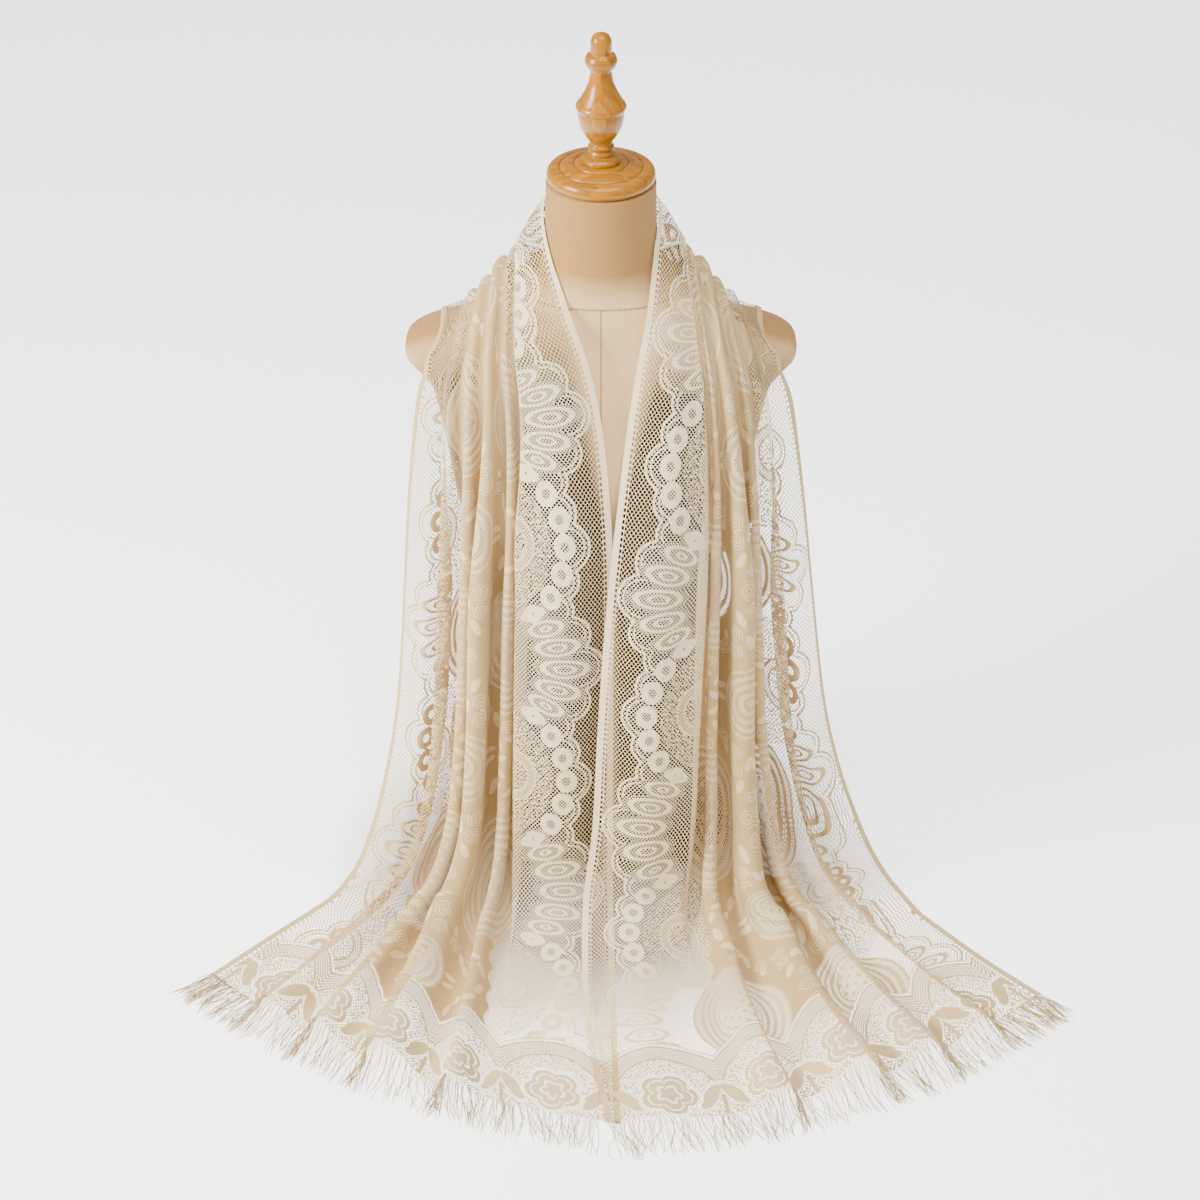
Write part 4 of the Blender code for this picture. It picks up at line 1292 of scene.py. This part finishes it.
# The radius at which an angle round the form is measured out as a length of weave
WEAVE_RADIUS = 0.085
SLUB = {"along": 40, "across": 900, "share": 0.45, "up_share": 0.35, "patch": 9, "patch_share": 0.2}
SEAM = {"height": 0.6285, "y": 0.055, "slope": 0.28, "half": 0.0007, "stitch": (0.0010, 0.0022),
        "stitches": 11.0}
FLAX = ((0.31, 0.15, 0.038), (0.52, 0.29, 0.09))
SEAM_COLOURS = {"groove": (0.42, 0.25, 0.10), "stitch": (0.60, 0.46, 0.27)}
linen, linen_nodes, linen_shader = new_material("natural_linen", 0.9, 0.2, sheen_weight=0.08)
linen_place = object_place(linen_nodes)
lx, ly, lz = split_up(linen_nodes, linen_place)
turn_angle = ly.math("ARCTAN2", lx)
along_ring = turn_angle * WEAVE_RADIUS


def slubs(along, up):
    """Long streaks of noise, stretched by its two scales."""
    return noise(linen_nodes, combine(linen_nodes, along_ring * along, lz * up), 1.0, 2.0)


slub, slub_up = slubs(SLUB["along"], SLUB["across"]), slubs(SLUB["across"], SLUB["along"])
weft, warp = (lz / WEAVE).part() - 0.5, (along_ring / WEAVE).part() - 0.5
weave = weft.size() + warp.size()
linen_tone = slub * SLUB["share"] + slub_up * SLUB["up_share"] + (
    noise(linen_nodes, linen_place, SLUB["patch"], 3.0) * SLUB["patch_share"])
linen_colour = colour_between(linen_nodes, linen_tone, *FLAX)
neck_seam = (lz - SEAM["height"] - (ly + SEAM["y"]) * SEAM["slope"]).size()
front_seam = lx.size().most((lz - SEAM["height"]) * 2.0).most(ly * 2.0)
groove = neck_seam.least(front_seam).below(SEAM["half"])
stitch = neck_seam.between(*SEAM["stitch"]) * (turn_angle * SEAM["stitches"]).part().below(0.5)

# %% [markdown]
# ## Light and shade on the linen
#
# The open chest catches the light, and the form behind the lace lies in the shawl's own shade.
# Both are painted into the linen's colour. The chest is painted lighter, as painted light. Lights
# alone would leave the holes of the lace pale, so the linen there is painted nearly black, as
# painted shade, by a mask that follows the opening at the neck.

# %% Light and shade on the linen
CHEST_LIGHT = {"height": 0.665, "fade": 30.0, "front": -20.0, "share": 0.8,
               "colour": (0.93, 0.66, 0.34)}
SHADE = {"foot": 0.50, "widening": 0.27, "narrowest": -0.02, "half": 0.012, "middle": 0.01,
         "fade": 60.0, "top": 0.625, "top_fade": 12.0, "front": 0.02, "front_fade": 30.0,
         "colour": (0.018, 0.010, 0.005)}
# Painted light: the linen is painted lighter on the front below the neck, on the open chest.
chest = ((lz * -1 + CHEST_LIGHT["height"]) * CHEST_LIGHT["fade"]).clamped()
chest = chest * (ly * CHEST_LIGHT["front"]).clamped()
linen_colour = colour_between(
    linen_nodes, chest * CHEST_LIGHT["share"], linen_colour, CHEST_LIGHT["colour"])
linen_colour = colour_between(linen_nodes, groove, linen_colour, SEAM_COLOURS["groove"])
linen_colour = colour_between(linen_nodes, stitch, linen_colour, SEAM_COLOURS["stitch"])
# Painted shade: the linen is painted nearly black on the front below the chest, outside the opening
# between the falls.
half_opening = ((lz - SHADE["foot"]) * SHADE["widening"]).most(SHADE["narrowest"]) + SHADE["half"]
beside_opening = (((lx - SHADE["middle"]).size() - half_opening) * SHADE["fade"]).clamped()
low_enough = ((lz * -1 + SHADE["top"]) * SHADE["top_fade"]).clamped()
painted_shade_mask = beside_opening * low_enough
painted_shade_mask = painted_shade_mask * ((ly * -1 - SHADE["front"]) * SHADE["front_fade"]).clamped()
linen_colour = colour_between(linen_nodes, painted_shade_mask, linen_colour, SHADE["colour"])
paint(linen_nodes, linen_colour, linen_shader)
linen_height = weave * 0.5 + slub * 0.6 - groove * 1.4 + stitch * 1.2
add_bump(linen_nodes, linen_shader, linen_height, 0.0004, 0.6)
print(linen.name, len(linen_nodes.nodes), "nodes")

# %% [markdown]
# ## Honey wood
#
# Turned wood shows its grain along the blank that it was cut from: upright in the finial, flat in
# the cap. Noise that is stretched along one axis gives the fibres, and the broken steps of a wider
# noise give the growth rings, where a Wave texture would look too even. A thin coat is the varnish.

# %% Honey wood
HONEY = ((0.14, 0.042, 0.0), (0.55, 0.215, 0.002))
UPRIGHT = {"grain": (320, 320, 22), "rings": (26, 26, 3)}
FLAT = {"grain": (16, 260, 260), "rings": (4, 34, 30)}
RINGS = 9
wood, wood_nodes, wood_shader = new_material(
    "honey_wood_varnish", 0.3, 0.3, coat_weight=0.25, coat_roughness=0.08)
wood_parts = split_up(wood_nodes, object_place(wood_nodes))
in_cap = wood_parts[2].below(CAP_FOOT + 20.2 * MM)


def stretched(scales, *detail):
    """Noise that is stretched by a scale along each axis."""
    scaled = [term * scale for term, scale in zip(wood_parts, scales)]
    return noise(wood_nodes, combine(wood_nodes, *scaled), 1.0, *detail)


upright_grain, flat_grain = (stretched(kind["grain"], 4.0, 0.6) for kind in (UPRIGHT, FLAT))
grain = upright_grain.toward(flat_grain, in_cap)
upright_rings, flat_rings = (
    (stretched(kind["rings"], 1.0) * RINGS).part() for kind in (UPRIGHT, FLAT))
wood_tone = grain * 0.75 + upright_rings.toward(flat_rings, in_cap) * 0.3
paint(wood_nodes, colour_between(wood_nodes, wood_tone, *HONEY), wood_shader)
add_bump(wood_nodes, wood_shader, grain, 0.0002, 0.25)

# %% [markdown]
# ## Putting it together
#
# Each dressed piece takes its finish and rides on the one body, and the imported solids that the
# dressed pieces replace are hidden.

# %% Materials, bodies and hidden solids
for piece, finish, slot in (
    (turned_cap, wood, "honey_wood"), (turned_finial, wood, "honey_wood"), (body, linen, "linen"),
    (left_threads, thread, "ivory_lace"), (right_threads, thread, "ivory_lace"),
    *((sheet, lace, "ivory_lace") for sheet in sheets.values()),
):
    piece.data.materials.clear()
    piece.data.materials.append(finish)
    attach(piece, "root")
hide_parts("neck_cap")
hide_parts("finial")
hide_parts("form_torso")
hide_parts("left_fringe")
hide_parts("right_fringe")
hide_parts("left_fall")
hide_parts("left_fall", "neck_wrap")
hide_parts("right_fall", "neck_wrap")
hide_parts("right_fall")
SHEET_THREADS = {"lace_left_lower": [left_threads], "lace_right_lower": [right_threads]}
for label, sheet in sheets.items():
    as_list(SHEET_THREADS.get(label, []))
print("pieces:", 5 + len(sheets))

# %% [markdown]
# ## Camera and floor
#
# The picture was taken from some three metres off through a long lens, so the lens is long here
# too. The table is a pale sweep without an edge, which a plain floor gives when it glows a little.
# It glows only as far as the camera sees it, and neither glows nor is pale under the cloth, which
# stands for the soft shadow where cloth and table meet.

# %% Camera and floor
camera_data = bpy.data.cameras.new("camera")
camera = bpy.data.objects.new("camera", camera_data)
bpy.context.scene.collection.objects.link(camera)
camera_data.lens = 96
camera_data.sensor_width = 36
camera.location = (-0.001, -2.741, 2.018)
camera.rotation_euler = (np.radians(90 - 32.5), 0, 0)
bpy.context.scene.camera = camera

FLOOR = {"size": 14, "back": 3.0, "pale": ((0.92, 0.92, 0.92), (0.94, 0.94, 0.94)),
         "under_cloth": (0.22, 0.21, 0.20), "glow": 2.0, "no_glow": (0.02, 0.02, 0.02)}
# Masks on the floor: how far forward or back their middle lies, their radius, how fast they fade
UNDER = {"forward": 0.09, "radius": 0.15, "fade": 7.0}
SEEN = {"back": 1.1, "radius": 2.5, "fade": 1.4}
bpy.ops.mesh.primitive_plane_add(size=FLOOR["size"], location=(0, FLOOR["back"], 0))
floor = bpy.context.active_object
floor.name = "floor"
floor.select_set(False)
pale, pale_nodes, pale_shader = new_material("pale_floor", 0.9)
pale_place = object_place(pale_nodes)
fx, fy, _ = split_up(pale_nodes, pale_place)
fy = fy + FLOOR["back"]


def distance(x, y):
    return (x * x + y * y).math("SQRT")


beside = ((distance(fx, fy + UNDER["forward"]) - UNDER["radius"]) * UNDER["fade"]).clamped()
pale_patch = noise(pale_nodes, pale_place, 0.6)
pale_colour = colour_between(pale_nodes, pale_patch, *FLOOR["pale"])
paint(
    pale_nodes, colour_between(pale_nodes, beside, FLOOR["under_cloth"], pale_colour), pale_shader)
from_middle = distance(fx, fy - SEEN["back"])
glowing = beside * ((from_middle * -1 + SEEN["radius"]) * SEEN["fade"]).clamped()
glow = colour_between(pale_nodes, glowing, FLOOR["no_glow"], (1.0, 1.0, 1.0))
paint(pale_nodes, glow, pale_shader, "Emission Color")
pale_shader.inputs["Emission Strength"].default_value = FLOOR["glow"]
floor.data.materials.append(pale)

# %% [markdown]
# ## Light
#
# One large lamp stands high on the left and one hangs overhead, as a studio's soft boxes do, with
# a weak one on the right to open the shadows. A pale world fills what they leave.

# %% Light
# Name, place, aim, size, power, colour
LIGHTS = (
    ("key", (-2.0, -0.95, 1.55), (0, 0, 0.35), 1.0, 135, (1.0, 0.985, 0.95)),
    ("fill", (2.0, -1.6, 1.8), (0, 0, 0.35), 2.0, 12, (0.98, 0.99, 1.0)),
    ("top", (0.1, -0.7, 3.0), (0, -0.1, 0.3), 1.8, 85, (1, 1, 1)),
)
SKY = {"Color": (0.92, 0.93, 0.95, 1), "Strength": 0.48}
for name, place, aim, size, power, colour in LIGHTS:
    light = bpy.data.lights.new(name, "AREA")
    light.energy, light.size, light.color = power, size, colour
    made = bpy.data.objects.new(name, light)
    bpy.context.scene.collection.objects.link(made)
    made.location = place
    way = np.array(aim) - np.array(place)
    made.rotation_euler = (
        np.arctan2(np.hypot(way[0], way[1]), -way[2]), 0, np.arctan2(-way[0], way[1]))
world = bpy.data.worlds.new("studio")
bpy.context.scene.world = world
world.use_nodes = True
for label, value in SKY.items():
    world.node_tree.nodes["Background"].inputs[label].default_value = value
print("lights:", [light[0] for light in LIGHTS])
